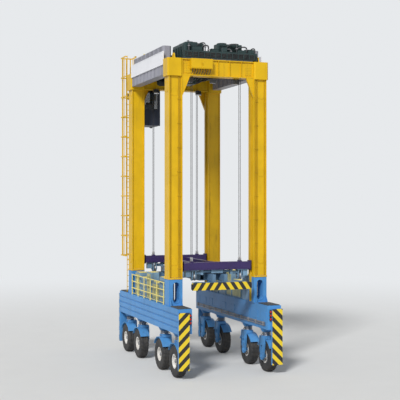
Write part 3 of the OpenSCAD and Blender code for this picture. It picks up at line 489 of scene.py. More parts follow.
def allCorners(part):
    return bothEnds(bothSides(part))


# a rectangle with cut corners carried from low to high, drawn in by the bevel at both ends
def bevelBox(low, high, edge=0.01):
    low, high = np.asarray(low, float), np.asarray(high, float)
    edge = min(edge, 0.45 * float((high - low).min()))
    heights = np.array([low[2], low[2] + edge, high[2] - edge, high[2]])
    inset = np.array([edge, 0, 0, edge])
    x0, x1 = low[0] + inset, high[0] - inset
    y0, y1 = low[1] + inset, high[1] - inset
    outline = [(x0 + edge, y0), (x1 - edge, y0), (x1, y0 + edge), (x1, y1 - edge),
               (x1 - edge, y1), (x0 + edge, y1), (x0, y1 - edge), (x0, y0 + edge)]
    return loft(np.stack([np.stack([x, y, heights], -1) for x, y in outline], 1))


# profile points (radius, height) carried round the z axis
def turned(profile, sides, loop=False):
    profile = np.asarray(profile, float)
    angle = fullTurn(sides)
    rings = np.stack([profile[:, :1] * np.cos(angle), profile[:, :1] * np.sin(angle),
                      np.repeat(profile[:, 1:], sides, 1)], -1)
    return loft(rings, closeRow=loop, caps=not loop)


# a flat band round the z axis, from the inner to the outer radius and from low to high
def band(inner, outer, low, high, sides):
    return turned([(inner, low), (outer, low), (outer, high), (inner, high)], sides, True)


# a circle carried along the points, square to the path at each
def tube(points, radius, sides=8, closed=False):
    points = np.asarray(points, float)
    if closed:
        along = np.roll(points, -1, 0) - np.roll(points, 1, 0)
    else:
        along = np.gradient(points, axis=0)
    along /= np.linalg.norm(along, axis=1)[:, None]
    helper = np.eye(3)[int(np.argmin(np.abs(along).max(0)))]
    side = np.cross(along, helper)
    side /= np.linalg.norm(side, axis=1)[:, None]
    other = np.cross(along, side)
    angle = fullTurn(sides)[:, None]
    circle = side[:, None] * np.cos(angle) + other[:, None] * np.sin(angle)
    return loft(points[:, None] + radius * circle, closeRow=closed)


def wireRing(radius, wire, steps, sides):
    angle = fullTurn(steps)
    return tube(np.stack([radius * np.cos(angle), radius * np.sin(angle), 0 * angle], -1), wire, sides,
                closed=True)


# a tube along a screw line
def coil(radius, wire, turns, height, perTurn=16, sides=6):
    t = np.linspace(0, 1, int(turns * perTurn) + 1)
    angle = 2 * math.pi * turns * t
    return tube(np.stack([radius * np.cos(angle), radius * np.sin(angle), t * height], -1), wire, sides)


# straight runs between the corners; a quadratic curve that starts and ends one bend away rounds each corner
def bentPath(corners, bend, steps=5):
    corners = np.asarray(corners, float)
    path = [corners[:1]]
    for before, corner, after in zip(corners[:-2], corners[1:-1], corners[2:]):
        back, ahead = before - corner, after - corner
        reach = min(bend, 0.45 * np.linalg.norm(back), 0.45 * np.linalg.norm(ahead))
        start = corner + back / np.linalg.norm(back) * reach
        end = corner + ahead / np.linalg.norm(ahead) * reach
        t = np.linspace(0, 1, steps)[:, None]
        path.append((1 - t) ** 2 * start + 2 * t * (1 - t) * corner + t ** 2 * end)
    path.append(corners[-1:])
    return np.concatenate(path)


def bentTube(corners, bend, radius, sides=6, steps=5):
    return tube(bentPath(corners, bend, steps), radius, sides)


# rectangle whose corners are quarter circles of the given radius
def roundedOutline(width, height, radius, steps=4):
    points = []
    for turn, (right, top) in enumerate(((1, 1), (-1, 1), (-1, -1), (1, -1))):
        angle = np.linspace(0, math.pi / 2, steps) + turn * math.pi / 2
        points.append(np.stack([right * (width / 2 - radius) + radius * np.cos(angle),
                                top * (height / 2 - radius) + radius * np.sin(angle)], -1))
    return np.concatenate(points)


def atHeight(outline, z):
    return np.column_stack([outline, np.full(len(outline), z)])


# the rounded rectangle carried outward, drawn in by the edge at the end
def plate(width, height, thick, radius=0.03, edge=0.004):
    outer = roundedOutline(width, height, radius)
    inner = roundedOutline(width - 2 * edge, height - 2 * edge, max(radius - edge, 0.001))
    return loft([atHeight(outer, 0), atHeight(outer, thick - edge), atHeight(inner, thick)])


# a bar with sloped inner and outer sides carried round the rounded rectangle
def rimBar(width, height, bar, thick, radius=0.04):
    section = [(0, 0), (0, thick * 0.7), (bar * 0.25, thick), (bar * 0.75, thick), (bar, thick * 0.7),
               (bar, 0)]
    rings = [atHeight(roundedOutline(width + 2 * out, height + 2 * out, radius + out), z)
             for out, z in section]
    return loft(np.stack(rings, 1), closeRow=True, caps=False)


# slats, each a leaning strip, one above another
def louvre(width, height, count, depth):
    pitch = height / count
    section = np.array([(0.0, 0.0), (0.55, 1.0), (0.75, 1.0), (0.75, 0.6), (0.3, 0.0)]) * (pitch, depth)
    slats = []
    for low in pitch * np.arange(count) - height / 2:
        slats.append(loft([np.column_stack([np.full(5, x), section + (low, 0)])
                           for x in (-width / 2, width / 2)]))
    return joined(slats)


# slats inside a frame; sideGap is what the slats leave free of the width
def vent(width, height, count, depth, bar=0.015, thick=0.014, radius=0.02, sideGap=0.02):
    return joined([rimBar(width, height, bar, thick, radius),
                   louvre(width - sideGap, height - 0.01, count, depth)])


# a bar bent twice, standing off the face
def grip(length, rise, radius=0.008):
    foot, top = length / 2, rise
    return bentTube([(0, -foot, 0), (0, -foot, top), (0, foot, top), (0, foot, 0)], rise * 0.6, radius)


# a six sided head on a round washer
def hexBolt(radius, height):
    washer = turned([(radius * 1.35, 0), (radius * 1.35, height * 0.18), (radius * 1.2, height * 0.25)], 12)
    head = turned([(radius, height * 0.2), (radius, height * 0.85), (radius * 0.8, height)], 6)
    return joined([washer, head])


def boltRow(first, last, count, outward, radius=0.010, height=0.010):
    return stood(hexBolt(radius, height), np.linspace(first, last, count), outward)


def boltRing(centre, outward, circle, count, radius=0.012, height=0.012):
    base = framesAt([centre], outward)[0]
    angle = fullTurn(count)[:, None]
    places = base[:3, 3] + circle * (np.cos(angle) * base[:3, 0] + np.sin(angle) * base[:3, 1])
    return stood(hexBolt(radius, height), places, outward)


# a rounded plate with bolts along its rim
hatch = {"thick": 0.012, "rim": 0.030, "bolt": 0.010}


def boltedHatch(width, height, place, outward, up=(0, 0, 1), radius=0.08):
    rim = hatch["rim"]
    line = roundedOutline(width - 2 * rim, height - 2 * rim, max(radius - rim, 0.01), 3)
    bolts = stood(hexBolt(hatch["bolt"], hatch["bolt"]), atHeight(line, hatch["thick"]))
    return onFace(joined([plate(width, height, hatch["thick"], radius), bolts]), place, outward, up)


# each blade is a thin lens section whose chord turns from steep at the hub to flat at the tip
def fanWheel(radius, count):
    section = np.array([(-0.5, 0), (-0.2, 0.06), (0.2, 0.06), (0.5, 0), (0.2, -0.02), (-0.2, -0.02)])
    rings = []
    for out, turn, chord in zip(np.linspace(0.045, radius, 6), np.radians(np.linspace(55, 24, 6)),
                                np.linspace(0.055, 0.085, 6)):
        turning = np.array([(math.cos(turn), math.sin(turn)), (-math.sin(turn), math.cos(turn))])
        rings.append(np.column_stack([np.full(6, out), chord * section @ turning]))
    angle = fullTurn(count)
    frames = np.tile(np.eye(4), (count, 1, 1))
    frames[:, 0, 0] = frames[:, 1, 1] = np.cos(angle)
    frames[:, 1, 0], frames[:, 0, 1] = np.sin(angle), -np.sin(angle)
    return joined([copies(loft(rings), frames), turned([(0.055, -0.03), (0.055, 0.02), (0.035, 0.035)], 20)])


# rings of wire held by spokes just over them
def ringGuard(radius, rings, spokes, wire=0.004):
    parts = [wireRing(r, wire, 40, 4) for r in np.linspace(radius / rings, radius, rings)]
    for angle in fullTurn(spokes):
        ends = [(r * math.cos(angle), r * math.sin(angle), 1.5 * wire) for r in (0.02, radius)]
        parts.append(tube(ends, wire * 1.3, 4))
    return joined(parts)


def piece(name, part, finish, body, angle=35.0, replaces=()):
    points, faces = part
    mesh = bpy.data.meshes.new(name)
    corners = np.concatenate([face.reshape(-1) for face in faces])
    sizes = np.concatenate([np.full(len(face), face.shape[1]) for face in faces])
    mesh.vertices.add(len(points))
    mesh.vertices.foreach_set("co", points.astype(np.float32).reshape(-1))
    mesh.loops.add(len(corners))
    mesh.loops.foreach_set("vertex_index", corners.astype(np.int32))
    mesh.polygons.add(len(sizes))
    mesh.polygons.foreach_set("loop_start", (np.cumsum(sizes) - sizes).astype(np.int32))
    mesh.update(calc_edges=True)
    mesh.validate()
    shell = bmesh.new()
    shell.from_mesh(mesh)
    bmesh.ops.recalc_face_normals(shell, faces=shell.faces)
    shell.to_mesh(mesh)
    shell.free()
    mesh.polygons.foreach_set("use_smooth", [True] * len(mesh.polygons))
    mesh.set_sharp_from_angle(angle=math.radians(angle))
    mesh.materials.append(finishes[finish])
    thing = bpy.data.objects.new(name, mesh)
    bpy.context.collection.objects.link(thing)
    if body:
        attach(thing, body)
    if replaces:
        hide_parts(*replaces)
    return thing


# a piece joined from parts, in its finish's slot
def add(name, parts, finish, body="frame", angle=35.0):
    return piece(name, joined(parts), finish, body, angle)


# tyres with tread, one a wheel; the wall's points are (radius, distance from the middle), and the stations
# are the shares of the half width at which the tread is worked out
tyre = {"halfWidth": 0.215, "drawnIn": 0.012, "crown": 0.746, "shoulderFrom": 0.62, "shoulderDrop": 0.062,
        "shoulderPower": 2.4, "blocks": 22, "blockShare": 0.66, "slant": 2.0, "rib": 0.028,
        "groove": (0.032, 0.042), "grooveShare": 0.8, "depth": 0.022, "steps": 176,
        "stations": (0.04, 0.16, 0.18, 0.48, 0.50, 0.60, 0.62, 0.84, 0.86, 0.97, 0.995, 1),
        "wall": [(0.664, 0.208), (0.60, 0.2148), (0.52, 0.2148), (0.44, 0.2120), (0.405, 0.2085),
                 (0.400, 0.2040), (0.372, 0.2010), (0.345, 0.1960), (0.342, 0.1705), (0.319, 0.1700)]}


# the radius follows a rounded shoulder; grooves sink it where a wave of the angle and the width is high
def tyrePart(centre, side):
    right = np.array(tyre["stations"]) * (tyre["halfWidth"] - tyre["drawnIn"])
    across = np.concatenate([-right[::-1], right])
    out = np.abs(across)
    edge = np.clip((out / tyre["halfWidth"] - tyre["shoulderFrom"]) / (1 - tyre["shoulderFrom"]), 0, 1)
    crown = tyre["crown"] - tyre["shoulderDrop"] * edge ** tyre["shoulderPower"]
    angle = fullTurn(tyre["steps"])[:, None]
    wave = (angle * tyre["blocks"] / (2 * math.pi) + out * tyre["slant"]) % 1.0
    block = ((wave < tyre["blockShare"]) | (out < tyre["rib"])).astype(float)
    groove = ((out > tyre["groove"][0]) & (out < tyre["groove"][1])).astype(float)
    tread = crown - tyre["depth"] * (1 - block + tyre["grooveShare"] * block * groove)
    wallRight = np.array(tyre["wall"])
    wallLeft = wallRight[::-1] * (1, -1)
    wallRows = [np.tile(wall[:, 0], (len(angle), 1)) for wall in (wallLeft, wallRight)]
    radius = np.concatenate([wallRows[0], tread, wallRows[1]], 1)
    outlineY = np.concatenate([wallLeft[:, 1], across, wallRight[:, 1]]) * side
    ring = np.stack([radius * np.cos(angle), outlineY + 0 * radius, radius * np.sin(angle)], -1)
    return loft(ring + centre, closeRow=True)


wheelCentres = {name[5:]: sum(nodeBox[name]) / 2 for name in nodes if name.startswith("tyre_")}
for wheel, centre in wheelCentres.items():
    piece("tread_" + wheel, tyrePart(centre, math.copysign(1, centre[1])), "rubber", "wheel_" + wheel,
          40, ("tyre_" + wheel,))
print("stage: tyres")

# wheel nuts and hub caps
hub = {"nuts": 16, "circle": 0.185, "nut": (0.017, 0.035), "nutFace": 0.060, "capFace": 0.120,
       "cap": [(0.104, 0.0), (0.100, 0.012), (0.066, 0.020), (0.064, 0.035), (0.030, 0.041)]}
for wheel, centre in wheelCentres.items():
    outward = np.array([0, math.copysign(1, centre[1]), 0])
    nuts = boltRing(centre + outward * hub["nutFace"], outward, hub["circle"], hub["nuts"], *hub["nut"])
    cap = stood(turned(hub["cap"], 24), centre + outward * hub["capFace"], outward)
    add("nuts_" + wheel, [nuts, cap], "steel", "wheel_" + wheel, angle=30)
print("stage: wheel nuts")

# hoist ropes, twisted strands that stretch between the deck and the hoist beams
rope = {"x": 3.04, "y": 1.25, "radius": 0.014, "strands": 6, "lay": 0.35, "relief": 0.07, "apart": 0.09,
        "steps": 260, "sides": 12}
ropeLow, ropeHigh = nodeBox["hoist_ropes"]


# radius waves round the rope once a strand, and the wave turns with height
def ropePart(x, y):
    height = np.linspace(ropeLow[2], ropeHigh[2], rope["steps"])[:, None]
    angle = fullTurn(rope["sides"])
    wave = np.cos(rope["strands"] * angle - height * 2 * math.pi / rope["lay"])
    radius = rope["radius"] * (1 - rope["relief"] + rope["relief"] * wave)
    return loft(np.stack([x + radius * np.cos(angle), y + radius * np.sin(angle), height + 0 * radius], -1))


falls = [ropePart(end * (rope["x"] + shift), side * rope["y"])
         for end in (1, -1) for side in (1, -1) for shift in (-rope["apart"], rope["apart"])]
ropesPiece = piece("ropes", joined(falls), "rope", None, 60, ("hoist_ropes",))
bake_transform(ropesPiece)
print("stage: ropes")

# legs: hatches, flange bolts, and conduits with their clamps down the rear pair
leg = {"x": 3.10, "y": 2.18, "halfX": 0.33, "recess": 0.06, "outY": 2.52, "sideHatch": (0.34, 0.52),
       "sideHatchZ": (5.15, 13.65), "faceHatch": (0.30, 0.40), "faceHatchZ": (5.35, 9.6, 13.4),
       "faceHatchShift": 0.05, "flangeZ": 4.56, "boltIn": 0.025, "boltHalfRow": 0.27, "bolts": 6,
       "bolt": (0.019, 0.024), "conduit": 0.020, "conduitOut": 0.021, "conduitY": (-0.22, -0.15, 0.24),
       "conduitZ": (4.60, 9.0, 14.12), "clampY": -0.185, "clampFrom": 5.0, "clampPitch": 1.15,
       "clamp": ((-0.012, -0.085, -0.018), (0.046, 0.085, 0.018))}
webX = leg["x"] + leg["halfX"] - leg["recess"]
hatches = [boltedHatch(*leg["sideHatch"], (leg["x"], leg["outY"], z), (0, 1, 0)) for z in leg["sideHatchZ"]]
hatches += [boltedHatch(*leg["faceHatch"], (webX, leg["y"] + leg["faceHatchShift"], z), (1, 0, 0))
            for z in leg["faceHatchZ"]]
add("legHatches", [allCorners(joined(hatches))], "yellow")
flangeBolts = []
for side in (1, -1):
    x = leg["x"] + side * (leg["halfX"] - leg["boltIn"])
    row = [(x, leg["y"] + end * leg["boltHalfRow"], leg["flangeZ"]) for end in (-1, 1)]
    flangeBolts.append(boltRow(*row, leg["bolts"], (0, 0, 1), *leg["bolt"]))
add("legBolts", [allCorners(joined(flangeBolts))], "steel", angle=30)
conduits = []
for shift in leg["conduitY"]:
    route = [(webX + leg["conduitOut"], leg["y"] + shift, z) for z in leg["conduitZ"]]
    conduits.append(tube(route, leg["conduit"], 10))
clampPlaces = [(webX, leg["y"] + leg["clampY"], z)
               for z in np.arange(leg["clampFrom"], leg["conduitZ"][-1], leg["clampPitch"])]
conduits.append(stood(bevelBox(*leg["clamp"], 0.008), clampPlaces))
add("legConduits", [bothSides(mirrored(joined(conduits), 0))], "yellowDark", angle=40)

# splice plates on the cross beams' webs and flanges on the gussets' sloping edges
beam = {"webX": (3.33, 2.87), "y": 1.58, "z": 14.6, "splice": (0.34, 0.58, 0.016, 0.02),
        "columns": (-0.12, -0.04, 0.04, 0.12), "halfColumn": 0.24, "rows": 7, "bolt": (0.014, 0.016),
        "gussetX": 3.365, "gussetEdge": ((1.838, 13.255), (1.464, 14.195)), "flange": (0.065, 0.016)}
splices, spliceBolts = [], []
for webFace, out in zip(beam["webX"], (1, -1)):
    splices.append(onFace(plate(*beam["splice"]), (webFace, beam["y"], beam["z"]), (out, 0, 0)))
    for column in beam["columns"]:
        ends = [(webFace + out * beam["splice"][2], beam["y"] + column, beam["z"] + end * beam["halfColumn"])
                for end in (-1, 1)]
        spliceBolts.append(boltRow(*ends, beam["rows"], (out, 0, 0), *beam["bolt"]))
slope = np.array([(beam["gussetX"], y, z) for y, z in beam["gussetEdge"]])
upSlope = (slope[1] - slope[0]) / np.linalg.norm(slope[1] - slope[0])
wide = np.array([beam["flange"][0], 0, 0])
thick = np.cross(upSlope, (beam["flange"][1], 0, 0))
splices.append(loft([[end - wide, end + wide, end + wide - thick, end - wide - thick] for end in slope]))
add("beamSplices", [allCorners(joined(splices))], "yellow")
add("spliceBolts", [allCorners(joined(spliceBolts))], "yellowDark", angle=30)

# junction box on the rear cross beam: two lids with grips and bolts, and the cables that leave it below
junction = {"x": -3.58, "z": 14.76, "lid": (0.50, 0.42, 0.014, 0.02), "lidY": (0.63, 1.17), "boltRows": 0.18,
            "boltHalfRow": 0.21, "grip": (0.12, 0.03), "gripY": (0.86, 0.94), "cables": 8,
            "cableY": (0.45, 1.35), "cable": 0.017,
            "route": ((-3.50, 0, 14.52), (-3.50, 0, 14.40), (-3.42, 0.04, 14.28))}
lidFace = junction["x"] - junction["lid"][2]
boxLid = [onFace(plate(*junction["lid"]), (junction["x"], y, junction["z"]), (-1, 0, 0))
          for y in junction["lidY"]]
boxLid += [onFace(grip(*junction["grip"]), (lidFace, y, junction["z"]), (-1, 0, 0))
           for y in junction["gripY"]]
for y in junction["lidY"]:
    for z in (junction["z"] - junction["boltRows"], junction["z"] + junction["boltRows"]):
        boxLid.append(boltRow((lidFace, y - junction["boltHalfRow"], z),
                              (lidFace, y + junction["boltHalfRow"], z), 4, (-1, 0, 0)))
cables = [bentTube(np.array(junction["route"]) + (0, y, 0), 0.06, junction["cable"], 8)
          for y in np.linspace(*junction["cableY"], junction["cables"])]
add("junctionLids", boxLid, "yellow")
add("junctionCables", cables, "rubber")
print("stage: legs and cross beams")

# engine housings on the deck: louvred sides and ends, roof grips and filler caps
engine = {"places": ((-2.08, 1.08), (-1.15, -1.08)), "size": (1.75, 1.05, 0.78),
          "bays": (-0.54, -0.18, 0.18, 0.54), "bayRise": 0.50,
          "bayVent": (0.22, 0.50, 9, 0.020, 0.014, 0.014, 0.01, 0.01), "endRise": 0.52,
          "endVent": (0.72, 0.46, 10, 0.022, 0.016, 0.016), "roof": 0.11, "grip": (0.26, 0.05, 0.011),
          "gripShift": 0.30, "caps": ((-0.42, 0.15), (0.40, -0.18)),
          "cap": [(0.05, 0), (0.05, 0.05), (0.062, 0.052), (0.062, 0.075), (0.03, 0.085)]}
panels, grips = [], []
length, width, height = engine["size"]
roofZ = deckTop + height + engine["roof"]
for x, y in engine["places"]:
    for side in (1, -1):
        for bay in engine["bays"]:
            place = (x + bay, y + side * width / 2, deckTop + height * engine["bayRise"])
            panels.append(onFace(vent(*engine["bayVent"]), place, (0, side, 0)))
        place = (x + side * length / 2, y, deckTop + height * engine["endRise"])
        panels.append(onFace(vent(*engine["endVent"]), place, (side, 0, 0)))
        grips.append(onTop(grip(*engine["grip"]), (x + side * engine["gripShift"], y, roofZ)))
    grips.append(stood(turned(engine["cap"], 16), [(x + dx, y + dy, roofZ) for dx, dy in engine["caps"]]))
add("housingLouvres", panels, "dark")
add("housingGrips", grips, "steel")

# cooler: two fans under guards, louvred sides
cooler = {"x": -2.62, "y": -0.80, "size": (0.56, 1.30, 0.82), "fan": (0.195, 9), "fanRise": 0.030,
          "guard": (0.232, 8, 12), "guardRise": 0.062, "vent": (1.12, 0.62, 14, 0.020, 0.02, 0.02),
          "ventRise": 0.42}
coolerLength, coolerWidth, coolerHeight = cooler["size"]
fanPlaces = np.array([(cooler["x"], cooler["y"] + side * coolerWidth / 4, deckTop + coolerHeight)
                      for side in (1, -1)])
fans = stood(fanWheel(*cooler["fan"]), fanPlaces + (0, 0, cooler["fanRise"]))
add("coolerFans", [fans], "steel")
guards = [stood(ringGuard(*cooler["guard"]), fanPlaces + (0, 0, cooler["guardRise"]))]
for side in (1, -1):
    place = (cooler["x"] + side * coolerLength / 2, cooler["y"], deckTop + cooler["ventRise"])
    guards.append(onFace(vent(*cooler["vent"]), place, (side, 0, 0)))
add("coolerGuards", guards, "dark")

# rear tray: cables along its face, clamps, box lids, pipes over to the cooler and the housings. A box is
# (y, width, height over the tray); a pipe is (y, x and y and z of its far end, radius)
tray = {"x": -3.38, "middleX": -3.23, "y": (-2.0, 1.7), "cableZ": (15.12, 15.17, 15.22, 15.27, 15.32),
        "cable": 0.016, "cableOut": 0.018, "sway": 0.010, "steps": 60, "clamps": 13, "clampY": (-1.9, 1.6),
        "clamp": ((-0.046, -0.018, 15.08), (0.004, 0.018, 15.37)), "high": 0.36, "lid": (0.27, 0.014, 0.02),
        "lidOver": 0.03, "lidSink": 0.002, "front": (0.008, 0.01), "frontIn": (0.06, 0.05), "frontX": -3.35,
        "ring": (0.09, 4, 0.009, 0.009), "ringRise": 0.010,
        "boxes": ((-1.75, 0.30, 0.17), (-1.25, 0.42, 0.12), (-0.35, 0.26, 0.23), (0.15, 0.38, 0.12),
                  (1.05, 0.50, 0.20)),
        "pipes": ((-1.55, -2.88, -1.05, 15.60, 0.034), (-1.02, -2.88, -0.62, 15.72, 0.028),
                  (-0.72, -2.88, -0.30, 15.45, 0.040), (0.45, -2.94, 0.80, 15.58, 0.036),
                  (0.62, -2.94, 0.95, 15.70, 0.028), (1.45, -2.94, 1.30, 15.62, 0.045),
                  (-1.98, -2.88, -1.80, 15.55, 0.030)),
        "pipeFoot": 15.38, "collarZ": (15.58, 15.60, 15.46, 15.46, 15.60, 15.62),
        "collar": [(0.05, 0), (0.062, 0.006), (0.062, 0.034), (0.05, 0.040)]}
cables = []
along = np.linspace(*tray["y"], tray["steps"])
for row, z in enumerate(tray["cableZ"]):
    out = tray["x"] - tray["cableOut"] - 0.4 * tray["sway"] * np.cos(along * 4 + row)
    sway = tray["sway"] * np.sin(along * (5.1 + row * 0.7) + row * 1.7)
    cables.append(tube(np.column_stack([out, along, z + sway]), tray["cable"], 6))
add("trayCables", cables, "rubber")
clampPlaces = [(tray["x"], y, 0) for y in np.linspace(*tray["clampY"], tray["clamps"])]
trayParts = [stood(bevelBox(*tray["clamp"], 0.006), clampPlaces)]
lidWidth, lidThick, lidRadius = tray["lid"]
for y, width, height in tray["boxes"]:
    z = deckTop + tray["high"] + height
    lid = plate(lidWidth, width + tray["lidOver"], lidThick, lidRadius)
    front = plate(width - tray["frontIn"][0], height - tray["frontIn"][1], *tray["front"])
    trayParts.append(onTop(lid, (tray["middleX"], y, z - tray["lidSink"])))
    trayParts.append(onFace(front, (tray["frontX"], y, z - height / 2), (-1, 0, 0)))
    trayParts.append(boltRing((tray["middleX"], y, z + tray["ringRise"]), (0, 0, 1), *tray["ring"]))
add("trayClamps", trayParts, "dark")
pipes = []
for y, farX, farY, farZ, radius in tray["pipes"]:
    crest = (tray["middleX"] + 0.15, (y + farY) / 2, farZ + 0.14)
    route = [(tray["middleX"], y, tray["pipeFoot"]), (tray["middleX"], y, farZ + 0.12), crest,
             (farX - 0.06, farY, farZ), (farX + 0.04, farY, farZ)]
    pipes.append(bentTube(route, 0.12, radius, 8, 6))
add("deckPipes", pipes, "darkHose")
collarPlaces = [(tray["middleX"], pipe[0], z) for pipe, z in zip(tray["pipes"], tray["collarZ"])]
add("pipeCollars", [stood(turned(tray["collar"], 10), collarPlaces)], "steel")
print("stage: deck, rear")

# winches: rope laid on the drums, motor fins and end cover, stand bolts
winch = {"x": (0.5, 1.7), "z": 15.39, "drum": 0.27, "drumY": ((-0.735, -0.035), (0.035, 0.735)),
         "wire": 0.014, "wirePitch": 2.2, "fins": 9, "finY": (1.06, 1.30), "coverY": 1.319,
         "fin": [(0.14, -0.004), (0.222, -0.004), (0.222, 0.004), (0.14, 0.004)],
         "cover": [(0.17, 0), (0.17, 0.012), (0.05, 0.02)], "ringY": 1.02, "rings": {1: 0.215, -1: 0.13},
         "footZ": 15.06, "footY": 0.93, "footX": 0.335, "footHalfRow": 0.05}
wound, fins, standBolts = [], [], []
for x in winch["x"]:
    for y0, y1 in winch["drumY"]:
        turns = (y1 - y0) / (winch["wirePitch"] * winch["wire"])
        laid = coil(winch["drum"] + winch["wire"], winch["wire"], turns, y1 - y0, 20, 5)
        wound.append(stood(laid, (x, y0, winch["z"]), (0, 1, 0)))
    finPlaces = [(x, y, winch["z"]) for y in np.linspace(*winch["finY"], winch["fins"])]
    fins.append(stood(turned(winch["fin"], 28), finPlaces, (0, 1, 0)))
    fins.append(stood(turned(winch["cover"], 24), (x, winch["coverY"], winch["z"]), (0, 1, 0)))
    for side, circle in winch["rings"].items():
        centre = (x, side * winch["ringY"], winch["z"])
        standBolts.append(boltRing(centre, (0, side, 0), circle, 10, 0.014, 0.016))
        for dx in (-winch["footX"], winch["footX"]):
            row = [(x + dx, side * winch["footY"] + end * winch["footHalfRow"], winch["footZ"])
                   for end in (-1, 1)]
            standBolts.append(boltRow(*row, 2, (0, 0, 1), 0.018, 0.03))
add("drumRopes", wound, "rope", angle=60)
add("motorFins", fins, "dark")
add("winchBolts", standBolts, "steel", angle=30)

# exhausts: silencer bands, a collar round the stack and a rain flap that leans open
exhaust = {"places": ((-0.995, 1.08), (-0.065, -1.08)), "bandZ": (15.12, 15.43, 15.74),
           "silencerBand": [(0.150, 0), (0.159, 0.004), (0.159, 0.036), (0.150, 0.040)],
           "collarZ": 15.90, "collar": (0.072, 0.086, 0, 0.03), "flapShift": -0.02, "flapZ": 16.066,
           "flap": [(0.078, 0), (0.080, 0.004), (0.030, 0.016)], "flapLean": (-0.5, 0, 1)}
metalBands = []
for x, y in exhaust["places"]:
    metalBands.append(stood(turned(exhaust["silencerBand"], 28, True), [(x, y, z) for z in exhaust["bandZ"]]))
    metalBands.append(stood(band(*exhaust["collar"], 20), (x, y, exhaust["collarZ"])))
    flapPlace = (x + exhaust["flapShift"], y, exhaust["flapZ"])
    metalBands.append(stood(turned(exhaust["flap"], 20), flapPlace, exhaust["flapLean"]))
add("exhaustBands", metalBands, "steel")

# cabinet doors: handles, hinges and vents; lifting eyes on the roofs
cabinet = {"x": 2.72, "y": 0.70, "front": 0.335, "pitch": 0.30, "vent": (0.18, 0.14, 5, 0.012),
           "ventRise": (0.72, 0.20), "grip": (0.14, 0.03, 0.007), "gripShift": 0.095, "gripRise": 0.47,
           "hingeShift": 0.125, "hingeRise": (0.18, 0.76),
           "hinge": ((-0.012, -0.04, 0), (0.012, 0.04, 0.018)), "eye": 0.03, "eyeWire": 0.008, "eyeX": 0.25,
           "eyeY": 0.36, "eyeZ": 16.062}
eyeTurn = fullTurn(14)
eye = tube(cabinet["eye"] * np.stack([np.cos(eyeTurn), 0 * eyeTurn, np.sin(eyeTurn)], -1), cabinet["eyeWire"],
           5, True)
fittings = []
for side in (1, -1):
    for door in (-1, 0, 1):
        y = side * cabinet["y"] + door * cabinet["pitch"]
        for out in (1, -1):
            x = cabinet["x"] + out * cabinet["front"]
            for rise in cabinet["ventRise"]:
                fittings.append(onFace(louvre(*cabinet["vent"]), (x, y, deckTop + rise), (out, 0, 0)))
            gripPlace = (x, y + out * cabinet["gripShift"], deckTop + cabinet["gripRise"])
            fittings.append(onFace(grip(*cabinet["grip"]), gripPlace, (out, 0, 0)))
            for rise in cabinet["hingeRise"]:
                hingePlace = (x, y - out * cabinet["hingeShift"], deckTop + rise)
                fittings.append(onFace(bevelBox(*cabinet["hinge"], 0.005), hingePlace, (out, 0, 0)))
    eyePlaces = [(cabinet["x"] + dx, side * cabinet["y"] + dy, cabinet["eyeZ"])
                 for dx in (-cabinet["eyeX"], cabinet["eyeX"]) for dy in (-cabinet["eyeY"], cabinet["eyeY"])]
    fittings.append(stood(eye, eyePlaces))
add("cabinetFittings", fittings, "dark")

# frames and rivets of the side panels
sign = {"inset": 0.002, "bar": 0.035, "thick": 0.009, "rivetX": (-2.55, 2.56), "rivetPitch": 0.30,
        "rivetIn": 0.055, "rivet": [(0.009, 0), (0.008, 0.004), (0.004, 0.006)]}
signLow, signHigh = nodeBox["sign_panels"]
signY, lowZ, highZ = signHigh[1], signLow[2], signHigh[2]
shrink = 2 * (sign["bar"] + sign["inset"])
frameBar = rimBar(2 * signHigh[0] - shrink, highZ - lowZ - shrink, sign["bar"], sign["thick"], 0.004)
rivetPlaces = [(x, signY, z) for x in np.arange(*sign["rivetX"], sign["rivetPitch"])
               for z in (lowZ + sign["rivetIn"], highZ - sign["rivetIn"])]
signParts = [onFace(frameBar, (0, signY, (lowZ + highZ) / 2), (0, 1, 0)),
             stood(turned(sign["rivet"], 8), rivetPlaces, (0, 1, 0))]
add("panelFrames", [bothSides(joined(signParts))], "white")

# side girders' cowls: outer and inner vents, lids with grips, and ribs on both faces of the girder
cowl = {"bays": (-2.1, 2.11, 0.70), "outerY": 2.51, "outerZ": 15.55,
        "outerVent": (0.50, 0.20, 5, 0.014, 0.015, 0.012), "innerY": 2.09, "innerZ": 15.42,
        "innerVent": (0.50, 0.40, 9, 0.016), "lidY": 2.30, "lidZ": 15.70, "lid": (0.56, 0.26, 0.012, 0.03),
        "ribX": (-2.4, 2.41, 0.60), "ribs": (((-0.012, 2.535, 14.32), (0.012, 2.575, 14.745)),
                                             ((-0.012, 2.025, 14.32), (0.012, 2.064, 14.98)))}
cowlLid = joined([plate(*cowl["lid"]), onTop(grip(0.12, 0.03), (0, 0, cowl["lid"][2]), False)])
cowlParts = []
for x in np.arange(*cowl["bays"]):
    cowlParts.append(onFace(vent(*cowl["outerVent"]), (x, cowl["outerY"], cowl["outerZ"]), (0, 1, 0)))
    cowlParts.append(onFace(vent(*cowl["innerVent"]), (x, cowl["innerY"], cowl["innerZ"]), (0, -1, 0)))
    cowlParts.append(onTop(cowlLid, (x, cowl["lidY"], cowl["lidZ"])))
ribPlaces = [(x, 0, 0) for x in np.arange(*cowl["ribX"])]
cowlParts += [stood(bevelBox(*rib, 0.005), ribPlaces) for rib in cowl["ribs"]]
add("cowlParts", [bothSides(joined(cowlParts))], "grey")
print("stage: deck, front and sides")

